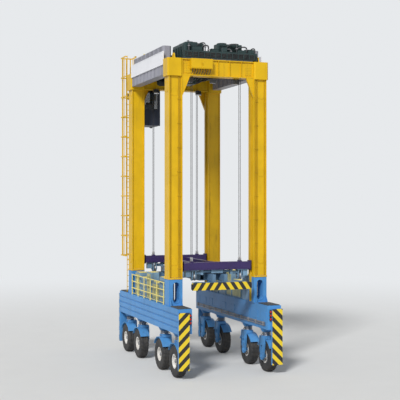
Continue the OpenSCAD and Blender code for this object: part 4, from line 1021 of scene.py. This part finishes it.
# floodlights: lenses with lamps behind them on the faces that look down and inward, and their leads
lamp = {"x": 2.67, "z": 14.09, "ys": (-1.2, 0.0, 1.2), "lean": 25.0, "drop": 0.109,
        "lens": (0.28, 0.072, 0.012, 0.03), "bulb": [(0.018, 0.0), (0.020, 0.010), (0.010, 0.018)],
        "bulbs": 5, "bulbX": 0.11, "bulbY": 0.017, "bulbZ": 0.010, "lead": 0.008,
        "leadRoute": ((2.69, 0.06, 14.16), (2.74, 0.10, 14.19), (2.79, 0.12, 14.215))}
lean = math.radians(lamp["lean"])
down = np.array([-math.sin(lean), 0, -math.cos(lean)])
bulbPlaces = [(x, y, lamp["bulbZ"]) for x in np.linspace(-lamp["bulbX"], lamp["bulbX"], lamp["bulbs"])
              for y in (-lamp["bulbY"], lamp["bulbY"])]
lensPart = joined([plate(*lamp["lens"]), stood(turned(lamp["bulb"], 12), bulbPlaces)])
lenses = [onFace(lensPart, down * lamp["drop"] + (lamp["x"], y, lamp["z"]), down,
                 (math.cos(lean), 0, -math.sin(lean))) for y in lamp["ys"]]
add("lampLenses", [bothEnds(joined(lenses))], "lens")
leads = [bentTube(np.array(lamp["leadRoute"]) + (0, y, 0), 0.03, lamp["lead"]) for y in lamp["ys"]]
add("lampCables", [bothEnds(joined(leads))], "rubber")
print("stage: lamps")

# rope drums under the deck: flanges, and the rope laid between them
under = {"drumX": (-2.0, 1.9), "z": 14.57, "flangeY": (0.33, 1.27, 0.80),
         "flange": (0.24, 0.275, -0.012, 0.012), "ropeY": ((0.36, 0.78), (0.83, 1.24)),
         "rope": (0.262, 0.013), "ropePitch": 0.03}
drumParts = []
for x in under["drumX"]:
    flangePlaces = [(x, y, under["z"]) for y in under["flangeY"]]
    drumParts.append(stood(band(*under["flange"], 32), flangePlaces, (0, 1, 0)))
    for y0, y1 in under["ropeY"]:
        laid = coil(*under["rope"], (y1 - y0) / under["ropePitch"], y1 - y0, 18, 5)
        drumParts.append(stood(laid, (x, y0, under["z"]), (0, 1, 0)))
add("underDrums", drumParts, "rope", angle=50)

# hoses under the deck, side by side: in each three, one after the other hangs a little higher
hose = {"count": 9, "y": 0.42, "pitch": 0.10, "low": 14.12, "step": 0.07, "rearTop": 14.60, "frontTop": 14.45,
        "crossCount": 5, "crossX": -1.2, "crossPitch": 0.55, "radii": (0.022, 0.020, 0.026)}
hang = []
for i in range(hose["count"]):
    y = hose["y"] + hose["pitch"] * i
    low = hose["low"] + hose["step"] * (i % 3)
    rearRoute = [(-1.42, y, hose["rearTop"]), (-1.62 - 0.05 * (i % 2), y, low + 0.1), (-2.05, y + 0.03, low),
                 (-2.42, y, low + 0.25), (-2.44, y, hose["rearTop"] + 0.02)]
    frontRoute = [(-0.52, y, hose["frontTop"]), (-0.32, y, low), (0.12, y - 0.02, low),
                  (0.24, y, hose["frontTop"] - 0.03)]
    hang.append(bentTube(rearRoute, 0.16, hose["radii"][0], 6, 6))
    hang.append(bentTube(frontRoute, 0.12, hose["radii"][1], 6, 6))
for i in range(hose["crossCount"]):
    x = hose["crossX"] + hose["crossPitch"] * i
    crossRoute = [(x, 0.20, 14.75), (x, 0.05, 14.45), (x + 0.1, -0.55, 14.38 + 0.04 * (i % 2)),
                  (x, -0.90, 14.62)]
    hang.append(bentTube(crossRoute, 0.2, hose["radii"][2], 6, 6))
add("underHoses", hang, "darkHose")

# lids on the pump boxes under the deck, (x, z, half the box's width); two more close the rear box's end
pump = {"y": 0.80,
        "boxes": ((-1.15, 14.5, 0.39), (-0.75, 14.5, 0.39), (0.55, 14.6, 0.35), (1.05, 14.6, 0.35)),
        "lid": (0.32, 0.42, 0.014, 0.03), "endX": -1.40, "endLid": (0.60, 0.30, 0.014, 0.03),
        "endLidZ": 14.30, "endVent": (0.56, 0.24, 7, 0.014, 0.014), "endVentZ": 14.68}
pumpLid = joined([plate(*pump["lid"]), onTop(grip(0.12, 0.03), (0, 0, pump["lid"][2]), False)])
pumpLids = [onFace(pumpLid, (x, pump["y"] + side * reach, z), (0, side, 0))
            for x, z, reach in pump["boxes"] for side in (1, -1)]
pumpLids.append(onFace(plate(*pump["endLid"]), (pump["endX"], pump["y"], pump["endLidZ"]), (-1, 0, 0)))
pumpLids.append(onFace(vent(*pump["endVent"]), (pump["endX"], pump["y"], pump["endVentZ"]), (-1, 0, 0)))
add("pumpLids", pumpLids, "dark")
print("stage: under the deck")

# steered forks: spring round the stem between two seats, crown bolts, axle plate and brake hose. Places are
# from the kingpin's axis, y outward; those of the hose's lower half are over the wheel's middle
fork = {"kingY": 2.22, "springFoot": 1.73, "spring": (0.190, 0.021, 3.25, 0.195, 24, 8),
        "seatZ": (1.70, 1.921),
        "seat": [(0.149, 0), (0.235, 0), (0.235, 0.018), (0.215, 0.030), (0.149, 0.030)],
        "crownX": (-0.225, 0.225), "crownY": (-0.235, -0.08, 0.125), "crownBolt": (0.018, 0.022),
        "axleY": -0.28, "axleRing": (0.135, 10, 0.014, 0.016), "ribX": (-0.20, 0.20), "ribRise": 0.44,
        "axleCap": [(0.085, 0), (0.085, 0.02), (0.06, 0.034), (0.02, 0.036)],
        "rib": (0.035, 0.50, 0.030, 0.01), "hose": 0.013,
        "lowRoute": ((0.09, -0.30, 0.05), (0.15, -0.345, 0.30), (0.06, -0.33, 0.72)),
        "highRoute": ((0.02, -0.33, 1.66), (0.02, -0.24, 1.80), (0.05, -0.16, 1.84))}
for wheel, (wheelX, wheelY, wheelZ) in wheelCentres.items():
    side = math.copysign(1, wheelY)
    king = np.array([wheelX, side * fork["kingY"], 0])
    outward = np.array([1, side, 1])
    body = "knuckle_" + wheel
    add("spring_" + wheel, [stood(coil(*fork["spring"]), king + (0, 0, fork["springFoot"]))], "springGrey",
        body)
    crown = [king + outward * (dx, dy, fork["seatZ"][0]) for dx in fork["crownX"] for dy in fork["crownY"]]
    axle = king + outward * (0, fork["axleY"], wheelZ)
    parts = [stood(turned(fork["seat"], 32, True), [king + (0, 0, z) for z in fork["seatZ"]]),
             stood(hexBolt(*fork["crownBolt"]), crown),
             boltRing(axle, (0, -side, 0), *fork["axleRing"]),
             onFace(turned(fork["axleCap"], 24), axle, (0, -side, 0))]
    for dx in fork["ribX"]:
        parts.append(onFace(plate(*fork["rib"]), axle + (dx, 0, fork["ribRise"]), (0, -side, 0)))
    add("forkParts_" + wheel, parts, "knuckleBlue", body)
    route = king + outward * np.concatenate([np.array(fork["lowRoute"]) + (0, 0, wheelZ), fork["highRoute"]])
    add("brakeHose_" + wheel, [bentTube(route, 0.12, fork["hose"], 6, 6)], "darkHose", body)
print("stage: forks")

# chassis: slot rims and gussets on the pedestals, inner hatches, bolts of the steering rings
chassis = {"pedestal": (3.1, 2.16, 3.875), "pedestalHalf": 0.33, "slot": (0.33, 0.98, 0.032, 0.016, 0.164),
           "innerY": 1.90, "hatch": (0.50, 0.36), "hatchX": (0.62, 2.55, 3.55, 4.55), "hatchZ": 2.72,
           "axleX": (4.10, 1.85), "bottomZ": 2.10, "ring": (0.335, 16, 0.014, 0.016),
           "gussetY": (1.90, 2.46), "gusset": (0.26, 0.025, 0.42)}
pedestalX, pedestalY, pedestalZ = chassis["pedestal"]
gussetLength, gussetThick, gussetRise = chassis["gusset"]
plates = [boltedHatch(*chassis["hatch"], (x, chassis["innerY"], chassis["hatchZ"]), (0, -1, 0), radius=0.05)
          for x in chassis["hatchX"]]
plates += [boltRing((x, fork["kingY"], chassis["bottomZ"]), (0, 0, -1), *chassis["ring"])
           for x in chassis["axleX"]]
for out in (1, -1):
    x = pedestalX + out * chassis["pedestalHalf"]
    plates.append(onFace(rimBar(*chassis["slot"]), (x, pedestalY, pedestalZ), (out, 0, 0)))
    for y in chassis["gussetY"]:
        plates.append(loft([[(x, at, beamTop), (x + out * gussetLength, at, beamTop),
                             (x, at, beamTop + gussetRise)] for at in (y, y + gussetThick)]))
add("chassisPlates", [allCorners(joined(plates))], "blue")

# pipes along the beams' inner sides, (z, radius), and their clamps
pipeRun = {"pipes": ((2.30, 0.026), (2.38, 0.018), (2.43, 0.018)), "y": 1.866, "halfLength": 4.7, "steps": 12,
           "clamps": 11, "clampHalf": 4.5, "clamp": ((-0.02, 1.834, 2.25), (0.02, 1.902, 2.47))}
pipeX = np.linspace(-pipeRun["halfLength"], pipeRun["halfLength"], pipeRun["steps"])
pipes = [tube([(x, pipeRun["y"], z) for x in pipeX], radius) for z, radius in pipeRun["pipes"]]
clampX = np.linspace(-pipeRun["clampHalf"], pipeRun["clampHalf"], pipeRun["clamps"])
pipes.append(stood(bevelBox(*pipeRun["clamp"], 0.006), [(x, 0, 0) for x in clampX]))
add("beamPipes", [bothSides(joined(pipes))], "conduit")

# walkway gratings on the beams' ends
walk = {"bars": 26, "barX": (3.75, 4.88), "bar": ((-0.006, 1.96, 0.012), (0.006, 2.52, 0.040)),
        "railY": (1.95, 2.15, 2.33, 2.53), "rail": ((3.72, -0.008, 0), (4.90, 0.008, 0.038))}
grating = [stood(bevelBox(*walk["bar"], 0.002),
                 [(x, 0, beamTop) for x in np.linspace(*walk["barX"], walk["bars"])]),
           stood(bevelBox(*walk["rail"], 0.003), [(0, y, beamTop) for y in walk["railY"]])]
add("walkGratings", [allCorners(joined(grating))], "deck")

# three lamps on a bracket at each end of both beams, clear in front and red behind
endLamp = {"x": 4.99, "y": 2.02, "z": (2.62, 2.79, 2.96),
           "bracket": ((4.95, 1.985, 2.52), (4.992, 2.082, 3.06)),
           "shell": [(0.050, 0), (0.064, 0.012), (0.066, 0.052), (0.058, 0.060), (0.054, 0.052)],
           "dome": [(0.055, 0.046), (0.048, 0.058), (0.026, 0.066)]}
endLampPlaces = [(endLamp["x"], endLamp["y"], z) for z in endLamp["z"]]
shells = [stood(turned(endLamp["shell"], 20), endLampPlaces, (1, 0, 0)), bevelBox(*endLamp["bracket"], 0.008)]
add("endLampShells", [allCorners(joined(shells))], "darkHose")
domes = bothSides(stood(turned(endLamp["dome"], 20), endLampPlaces, (1, 0, 0)))
add("frontLampGlass", [domes], "lens")
add("rearLampGlass", [mirrored(domes, 0)], "redLens")
print("stage: chassis")

# packs beside the railings, (x, length, depth, height) and their doors' finish: doors with grips, and lids
pack = {"rows": (((-2.55, 0.90, 0.46, 1.25), "slate"), ((-1.55, 1.20, 0.42, 0.90), "packPale"),
                 ((-0.25, 0.70, 0.46, 1.35), "packPale"), ((0.55, 1.00, 0.42, 1.00), "slate"),
                 ((1.65, 0.85, 0.46, 1.20), "packPale")), "y": 1.96, "doorWidth": 0.45, "margin": 0.04,
        "doorGap": (0.03, 0.16), "door": (0.016, 0.02), "ventGap": 0.14, "vent": (0.20, 6, 0.012),
        "ventDrop": 0.26, "grip": (0.13, 0.032, 0.008), "gripShift": 0.3, "gripRise": 0.45,
        "lidGap": (0.08, 0.10), "lid": (0.018, 0.03), "lidRing": (0.13, 8, 0.011, 0.012)}
doors = {"slate": [], "packPale": []}
packLids, packGrips = [], []
for (x0, length, depth, height), kind in pack["rows"]:
    count = max(2, round(length / pack["doorWidth"]))
    pitch = (length - 2 * pack["margin"]) / count
    door = plate(pitch - pack["doorGap"][0], height - pack["doorGap"][1], *pack["door"])
    slats = louvre(pitch - pack["ventGap"], *pack["vent"])
    door = joined([door, onTop(slats, (0, height / 2 - pack["ventDrop"], pack["door"][0]))])
    for side, y in ((1, pack["y"] + depth), (-1, pack["y"])):
        for i in range(count):
            x = x0 + pack["margin"] + pitch * (i + 0.5)
            doors[kind].append(onFace(door, (x, y, beamTop + height / 2), (0, side, 0)))
            gripPlace = (x + pack["gripShift"] * pitch, y + side * pack["door"][0],
                         beamTop + height * pack["gripRise"])
            packGrips.append(onFace(grip(*pack["grip"]), gripPlace, (0, side, 0)))
    middle = np.array([x0 + length / 2, pack["y"] + depth / 2, beamTop + height])
    lid = plate(depth - pack["lidGap"][0], length - pack["lidGap"][1], *pack["lid"])
    packLids.append(onTop(lid, middle, False))
    packLids.append(boltRing(middle + (0, 0, pack["lid"][0]), (0, 0, 1), *pack["lidRing"]))
add("packDoors", [bothSides(joined(doors["slate"]))], "slate")
add("palePackDoors", [bothSides(joined(doors["packPale"]))], "packPale")
add("packLids", [bothSides(joined(packLids))], "cream")
add("packGrips", [bothSides(joined(packGrips))], "steel")

# railings' lowest rail and the feet of their posts
railing = {"halfLength": 2.66, "railY": 2.53, "railZ": 3.33, "radius": 0.016, "steps": 8, "feet": 6,
           "footY": 2.54, "foot": [(0.045, 0), (0.045, 0.012), (0.028, 0.02)]}
railX = np.linspace(-railing["halfLength"], railing["halfLength"], railing["steps"])
footX = np.linspace(-railing["halfLength"], railing["halfLength"], railing["feet"])
lowRail = [tube([(x, railing["railY"], railing["railZ"]) for x in railX], railing["radius"], 6),
           stood(turned(railing["foot"], 14), [(x, railing["footY"], beamTop) for x in footX])]
add("railFeet", [bothSides(joined(lowRail))], "cream")

# bolts where the cage's hoops cross its straps; beside the cab the hoops are open on one side
cage = {"z0": 5.23, "pitch": 1.084, "hoops": 11, "open": (7, 8), "bolt": (0.011, 0.010), "frontX": 4.74,
        "frontY": (2.06, 2.28, 2.50), "sideX": (4.08, 4.30, 4.52), "sideY": (2.564, 1.96)}
crossing = []
for i in range(cage["hoops"]):
    z = cage["z0"] + cage["pitch"] * i
    crossing.append(stood(hexBolt(*cage["bolt"]), [(cage["frontX"], y, z) for y in cage["frontY"]],
                          (1, 0, 0)))
    boltedY = cage["sideY"][:1] if i in cage["open"] else cage["sideY"]
    for y in boltedY:
        crossing.append(stood(hexBolt(*cage["bolt"]), [(x, y, z) for x in cage["sideX"]], (0, -1, 0)))
add("cageBolts", crossing, "yellowDark", angle=30)
print("stage: ladder and packs")

# cab: seals round its rear, side and front panes
cab = {"rearX": 3.51, "frontX": 5.06, "nose": 0.26, "lean": 0.06, "sideY": 0.72, "z": 12.32, "high": 2.15,
       "bend": 0.70, "middle": 1.29, "rearSeal": (0.86, 1.07, 0.030, 0.018, 0.05), "rearSealZ": 13.755,
       "sideSeal": (0.93, 1.47, 0.030, 0.018, 0.05), "sideSealX": 4.115, "sideSealZ": 13.555,
       "frontY": (0.82, 1.76), "frontLow": 0.14, "frontHigh": 1.97, "startY": 1.00, "seal": 0.016,
       "bendSeal": 0.013}


# the front stands back under the bend by nose times the share still to rise, and leans back above it
def onFront(y, height, out=0.0):
    if height < cab["bend"]:
        back = cab["nose"] * (cab["bend"] - height) / cab["bend"]
    else:
        back = cab["lean"] * (height - cab["bend"]) / (cab["high"] - cab["bend"])
    return (cab["frontX"] - back + out, y, cab["z"] + height)


near, far = cab["frontY"]
low, bend, high = cab["frontLow"], cab["bend"], cab["frontHigh"]
paneEdge = [onFront(*at) for at in ((near, low), (near, bend), (near, high), (far, high), (far, bend),
                                    (far, low), (cab["startY"], low), (near, low))]
seals = [onFace(rimBar(*cab["rearSeal"]), (cab["rearX"], cab["middle"], cab["rearSealZ"]), (-1, 0, 0)),
         onFace(rimBar(*cab["sideSeal"]), (cab["sideSealX"], cab["sideY"], cab["sideSealZ"]), (0, -1, 0)),
         bentTube(paneEdge, 0.03, cab["seal"], 8, 4),
         tube([onFront(y, bend, 0.002) for y in (near, cab["middle"], far)], cab["bendSeal"])]
add("cabSeals", seals, "darkHose")

# sliding door: seal round its glass, lower panel, handle
cabDoor = {"x": 3.92, "y": 1.896, "seal": (0.46, 1.01, 0.026, 0.010, 0.04), "sealZ": 13.665,
           "panel": (0.48, 0.46, 0.008, 0.04), "panelZ": 12.83, "handle": (0.22, 0.038, 0.009),
           "handlePlate": (0.05, 0.10, 0.008, 0.02), "handlePlace": (4.18, 1.896, 13.10)}
doorSeal = [onFace(rimBar(*cabDoor["seal"]), (cabDoor["x"], cabDoor["y"], cabDoor["sealZ"]), (0, 1, 0)),
            onFace(plate(*cabDoor["panel"]), (cabDoor["x"], cabDoor["y"], cabDoor["panelZ"]), (0, 1, 0))]
add("doorSeal", doorSeal, "darkHose", "cab_door")
doorHandle = joined([grip(*cabDoor["handle"]), plate(*cabDoor["handlePlate"])])
add("doorHandle", [onFace(doorHandle, cabDoor["handlePlace"], (0, 1, 0))], "steel", "cab_door")

# wiper, its points (y, height, distance off the front), and the grab rail beside the door
wiper = {"arm": ((1.29, 0.30, 0.012), (1.24, 0.62, 0.030), (1.16, 1.05, 0.026)), "armRadius": 0.007,
         "blade": ((1.16, 0.78, 0.016), (1.16, 1.10, 0.016), (1.16, 1.62, 0.016)), "bladeRadius": 0.006,
         "foot": [(0.03, 0), (0.03, 0.018), (0.018, 0.026)], "footAt": (1.29, 0.28, -0.004),
         "footAim": (1, 0, -0.25)}
grabRail = {"route": ((3.555, 1.855, 12.80), (3.555, 1.925, 12.80), (3.555, 1.925, 13.90),
                      (3.555, 1.855, 13.90)), "radius": 0.013}
fittings = [bentTube([onFront(*at) for at in wiper["arm"]], 0.05, wiper["armRadius"]),
            tube([onFront(*at) for at in wiper["blade"]], wiper["bladeRadius"], 5),
            stood(turned(wiper["foot"], 14), onFront(*wiper["footAt"]), wiper["footAim"]),
            bentTube(grabRail["route"], 0.05, grabRail["radius"], 8)]

# two mirrors on arms, (y at the cab, y at the mirror)
mirror = {"y": ((0.73, 0.55), (1.85, 2.03)), "x": 5.03, "z": 14.02, "shell": (0.20, 0.36, 0.050, 0.05, 0.02),
          "glass": (0.17, 0.33, 0.004, 0.04, 0.001), "glassX": 5.031, "armX": (4.86, 5.00, 5.02),
          "armZ": (14.30, 14.32, 14.20), "arm": 0.010}
mirrorGlass = []
for y0, y1 in mirror["y"]:
    armRoute = list(zip(mirror["armX"], (y0, y1, y1), mirror["armZ"]))
    fittings.append(bentTube(armRoute, 0.05, mirror["arm"]))
    fittings.append(onFace(plate(*mirror["shell"]), (mirror["x"], y1, mirror["z"]), (1, 0, 0)))
    mirrorGlass.append(onFace(plate(*mirror["glass"]), (mirror["glassX"], y1, mirror["z"]), (-1, 0, 0)))
add("cabFittings", fittings, "darkHose")
add("mirrorGlass", mirrorGlass, "mirror")

# roof unit with slats and a guard over its fan, and the work lamps under the cab
unit = {"x": 4.57, "z": 14.58, "box": ((4.26, 1.03, 14.468), (4.88, 1.55, 14.690)), "halfWidth": 0.26,
        "sideSlats": (0.44, 0.12, 5, 0.012), "frontSlats": (0.40, 0.12, 5, 0.012), "guard": (0.17, 6, 8),
        "guardZ": 14.696}
unitFront = unit["box"][1][0]
roofUnit = [bevelBox(*unit["box"], 0.035),
            onFace(louvre(*unit["frontSlats"]), (unitFront, cab["middle"], unit["z"]), (1, 0, 0)),
            stood(ringGuard(*unit["guard"]), (unit["x"], cab["middle"], unit["guardZ"]))]
for side in (1, -1):
    place = (unit["x"], cab["middle"] + side * unit["halfWidth"], unit["z"])
    roofUnit.append(onFace(louvre(*unit["sideSlats"]), place, (0, side, 0)))
add("roofUnit", roofUnit, "grey")
workLamp = {"places": ((4.62, 0.90, 12.315), (4.62, 1.68, 12.315)), "aim": (0.5, 0, -1),
            "shell": [(0.03, -0.06), (0.07, -0.03), (0.085, 0.02), (0.080, 0.03)],
            "glass": [(0.078, 0.026), (0.06, 0.036), (0.02, 0.040)]}
for name, outline, finish in (("cabLamps", "shell", "lampBody"), ("cabLampGlass", "glass", "lens")):
    add(name, [onFace(turned(workLamp[outline], 18), place, workLamp["aim"]) for place in workLamp["places"]],
        finish)

# inside the cab: screen, sticks, buttons, wheel, pedals, mat
control = {"stickX": 4.26, "stickY": (0.88, 1.70), "stickZ": 13.09, "stickAim": (0.2, 0, 1),
           "stick": [(0.034, 0), (0.030, 0.02), (0.012, 0.035), (0.012, 0.10), (0.024, 0.12), (0.028, 0.15),
                     (0.018, 0.175)],
           "button": [(0.010, 0), (0.010, 0.012), (0.006, 0.015)], "buttonX": 4.36, "buttonZ": 13.075,
           "buttonStep": (0.045, -0.012), "buttonY": (-0.045, 0, 0.045), "buttonAim": (0.3, 0, 1),
           "wheel": (0.15, 0.013, 32, 8), "wheelPlace": (4.56, 1.29, 13.08), "wheelAim": (-0.5, 0, 1),
           "column": ((4.64, 1.29, 12.80), (4.70, 1.29, 12.42)), "columnRadius": 0.022,
           "screen": (0.28, 0.20, 0.030, 0.02), "screenPlace": (4.62, 0.98, 13.28),
           "screenAim": (-1, 0, 0.15), "postRadius": 0.016,
           "post": ((4.63, 0.98, 13.20), (4.70, 0.98, 12.80), (4.72, 0.98, 12.42)),
           "pedal": (0.10, 0.17, 0.014, 0.02), "pedalX": 4.60, "pedalY": (1.10, 1.46), "pedalZ": 12.47,
           "pedalAim": (-0.6, 0, 1), "mat": (0.92, 0.86, 0.008, 0.05), "matPlace": (4.12, 1.29, 12.40)}
inside = [onFace(plate(*control["screen"]), control["screenPlace"], control["screenAim"]),
          tube(control["post"], control["postRadius"]),
          stood(wireRing(*control["wheel"]), control["wheelPlace"], control["wheelAim"]),
          tube([control["wheelPlace"], *control["column"]], control["columnRadius"]),
          onTop(plate(*control["mat"]), control["matPlace"])]
for y in control["stickY"]:
    place = (control["stickX"], y, control["stickZ"])
    inside.append(stood(turned(control["stick"], 14), place, control["stickAim"]))
    stepX, stepZ = control["buttonStep"]
    buttons = [(control["buttonX"] + stepX * i, y + dy, control["buttonZ"] + stepZ * i)
               for i in range(4) for dy in control["buttonY"]]
    inside.append(stood(turned(control["button"], 8), buttons, control["buttonAim"]))
inside += [onFace(plate(*control["pedal"]), (control["pedalX"], y, control["pedalZ"]),
                  control["pedalAim"], (0, 1, 0)) for y in control["pedalY"]]
add("cabControls", inside, "plastic")

# seat: (width, length, rise, channels), place, the way it faces and its upper side
pad = {"rows": 41, "sides": 28, "power": 2 / 3.6, "ends": (6, 0.30), "channel": 0.045, "press": 0.16,
       "crown": 0.18,
       "seat": ((0.46, 0.36, 0.075, (-0.33, 0.33)), (4.16, 1.29, 12.950), (-0.05, 0, 1), (1, 0, 0.05)),
       "back": ((0.44, 0.52, 0.070, (-0.5, 0, 0.5)), (3.992, 1.29, 13.19), (1, 0, 0.11), (-0.11, 0, 1))}


# superellipse sections whose width and rise shrink to nothing at both ends, with sewn channels pressed in
def padPart(width, length, rise, channels):
    v = np.linspace(-1, 1, pad["rows"])[:, None]
    cos, sin = np.cos(fullTurn(pad["sides"])), np.sin(fullTurn(pad["sides"]))
    swell = np.clip(1 - np.abs(v) ** pad["ends"][0], 1e-4, 1) ** pad["ends"][1]
    press = 1 - pad["press"] * sum(np.exp(-((v - c) / pad["channel"]) ** 2) for c in channels)
    across = np.sign(cos) * np.abs(cos) ** pad["power"] * width / 2
    up = np.sign(sin) * np.abs(sin) ** pad["power"] * rise / 2
    crown = 1 + pad["crown"] * np.clip(1 - (2 * across / width) ** 2, 0, 1)
    return loft(np.stack([across * swell, v * length / 2 + 0 * across,
                          up * np.where(up > 0, crown, 1) * swell * press], -1))


for name in ("seat", "back"):
    size, place, facing, upper = pad[name]
    padThing = add(name + "Pad", [onFace(padPart(*size), place, facing, upper)], "cloth", angle=60)
print("stage: cab")

# hoist gear: rope sockets, sheave, pin ends and bolts, alike at all four corners
hoist = {"post": (3.04, 1.25, 5.31), "ropeX": (-0.09, 0.09), "postRing": (0.055, 4, 0.010, 0.014),
         "socket": [(0.030, 0), (0.044, 0.012), (0.044, 0.11), (0.020, 0.20), (0.016, 0.205)],
         "sheave": (3.10, 1.19, 4.57), "pinY": 0.13, "pin": [(0.062, 0), (0.062, 0.018), (0.046, 0.026)],
         "groove": [(0.140, -0.048), (0.176, -0.048), (0.174, -0.036), (0.155, -0.008), (0.155, 0.008),
                    (0.174, 0.036), (0.176, 0.048), (0.140, 0.048)],
         "cheekY": 0.135, "cheekZ": 4.86, "cheekHalf": 0.14}
postX, postY, postZ = hoist["post"]
sheaveX, sheaveY, sheaveZ = hoist["sheave"]
sockets = [stood(turned(hoist["socket"], 14), [(postX + dx, postY, postZ) for dx in hoist["ropeX"]]),
           boltRing(hoist["post"], (0, 0, 1), *hoist["postRing"]),
           stood(turned(hoist["groove"], 36, True), hoist["sheave"], (0, 1, 0))]
for side in (1, -1):
    sockets.append(stood(turned(hoist["pin"], 18), (sheaveX, sheaveY + side * hoist["pinY"], sheaveZ),
                         (0, side, 0)))
    row = [(sheaveX + end * hoist["cheekHalf"], sheaveY + side * hoist["cheekY"], hoist["cheekZ"])
           for end in (-1, 1)]
    sockets.append(boltRow(*row, 4, (0, 0, -1), 0.014, 0.016))
add("ropeSockets", [allCorners(joined(sockets))], "steel", "spreader")

# hoist beams: covers and bolt rows on both sides, a cover on top, sliding shoes at the ends
girder = {"x": 3.10, "z": 5.075, "sideX": 0.22, "coverY": 1.35, "covers": 7,
          "cover": (0.30, 0.22, 0.010, 0.03), "top": (0.36, 2.2, 0.012, 0.02), "topZ": 5.25, "boltX": 0.232,
          "boltY": 1.62, "boltZ": (4.935, 5.215), "bolts": 22, "shoeX": 0.115, "shoeY": 1.75,
          "shoe": (0.10, 0.40, 0.014, 0.01)}
covers = [onTop(plate(*girder["top"]), (girder["x"], 0, girder["topZ"]))]
for out in (1, -1):
    side = girder["x"] + out * girder["sideX"]
    for y in np.linspace(-girder["coverY"], girder["coverY"], girder["covers"]):
        covers.append(onFace(plate(*girder["cover"]), (side, y, girder["z"]), (out, 0, 0)))
    for z in girder["boltZ"]:
        row = [(girder["x"] + out * girder["boltX"], end * girder["boltY"], z) for end in (-1, 1)]
        covers.append(boltRow(*row, girder["bolts"], (out, 0, 0)))
    for end in (1, -1):
        place = (girder["x"] + out * girder["shoeX"], end * girder["shoeY"], girder["z"])
        covers.append(onFace(plate(*girder["shoe"]), place, (out, 0, 0)))
add("hoistPlates", [bothEnds(joined(covers))], "violet", "spreader")

# spreader frame: hatches on top and sides, a valve block with its caps, and hoses along the top
spread = {"topX": (-1.9, -1.1, 1.1, 1.9), "topZ": 4.74, "top": (0.60, 0.34), "sideX": (-2.3, 2.3, 7),
          "sideY": 0.72, "sideZ": 4.54, "side": (0.42, 0.24),
          "block": ((-0.42, -0.26, 4.735), (0.42, 0.26, 4.860)),
          "cap": [(0.028, 0), (0.028, 0.05), (0.018, 0.055)], "capX": (-0.33, 0.33, 6), "capY": (-0.15, 0.15),
          "hoseY": (-0.21, 0.21, 6), "hose": 0.017,
          "route": ((0.40, 1, 4.80), (0.75, 1, 4.80), (2.35, 1.1, 4.79), (2.75, 1.1, 4.80), (2.98, 1, 4.81)),
          "rise": 0.012}
framePlates = [boltedHatch(*spread["top"], (x, 0, spread["topZ"]), (0, 0, 1), (0, 1, 0), 0.05)
               for x in spread["topX"]]
framePlates += [boltedHatch(*spread["side"], (x, side * spread["sideY"], spread["sideZ"]), (0, side, 0),
                            radius=0.04) for x in np.linspace(*spread["sideX"]) for side in (1, -1)]
capPlaces = [(x, y, spread["block"][1][2]) for x in np.linspace(*spread["capX"]) for y in spread["capY"]]
framePlates += [bevelBox(*spread["block"], 0.02), stood(turned(spread["cap"], 10), capPlaces)]
add("framePlates", framePlates, "slate", "spreader")
hoses = []
for i, y in enumerate(np.linspace(*spread["hoseY"])):
    for out in (1, -1):
        route = np.array(spread["route"]) * (out, y, 1)
        route[1, 2] += spread["rise"] * (i % 2)
        hoses.append(bentTube(route, 0.15, spread["hose"]))
add("spreaderHoses", hoses, "darkHose", "spreader")
print("stage: hoist")

# end beams: plates and hatches at the twistlocks, lock rods, their gear box, and rubber buffers
arm = {"x": 3.50, "lockY": 1.129, "topZ": 4.33, "plate": (0.26, 0.20, 0.018, 0.03),
       "ring": (0.075, 8, 0.010, 0.012), "hatch": (0.30, 0.24), "hatchX": -0.11, "hatchZ": 4.16,
       "rodX": 0.135, "rodY": (0.14, 0.62, 1.10), "rodZ": 4.285, "rod": 0.014,
       "gearBox": ((3.608, -0.14, 4.10), (3.69, 0.14, 4.31)),
       "buffer": ((3.79, 1.498, 4.02), (3.89, 1.545, 4.29))}
lockTop = np.array([arm["x"], arm["lockY"], arm["topZ"]])
lockParts = [onTop(plate(*arm["plate"]), lockTop),
             boltRing(lockTop + (0, 0, arm["plate"][2]), (0, 0, 1), *arm["ring"]),
             boltedHatch(*arm["hatch"], (arm["x"] + arm["hatchX"], arm["lockY"], arm["hatchZ"]), (-1, 0, 0),
                         radius=0.04),
             tube([(arm["x"] + arm["rodX"], y, arm["rodZ"]) for y in arm["rodY"]], arm["rod"])]
endPlates = joined([bothSides(joined(lockParts)), bevelBox(*arm["gearBox"], 0.02)])
buffers = bothSides(bevelBox(*arm["buffer"], 0.018))
add("endPlates_arm_front", [endPlates], "slate", "arm_front")
add("buffers_arm_front", [buffers], "rubber", "arm_front")
add("endPlates_arm_rear", [mirrored(endPlates, 0)], "slate", "arm_rear")
add("buffers_arm_rear", [mirrored(buffers, 0)], "rubber", "arm_rear")
print("stage: end beams")
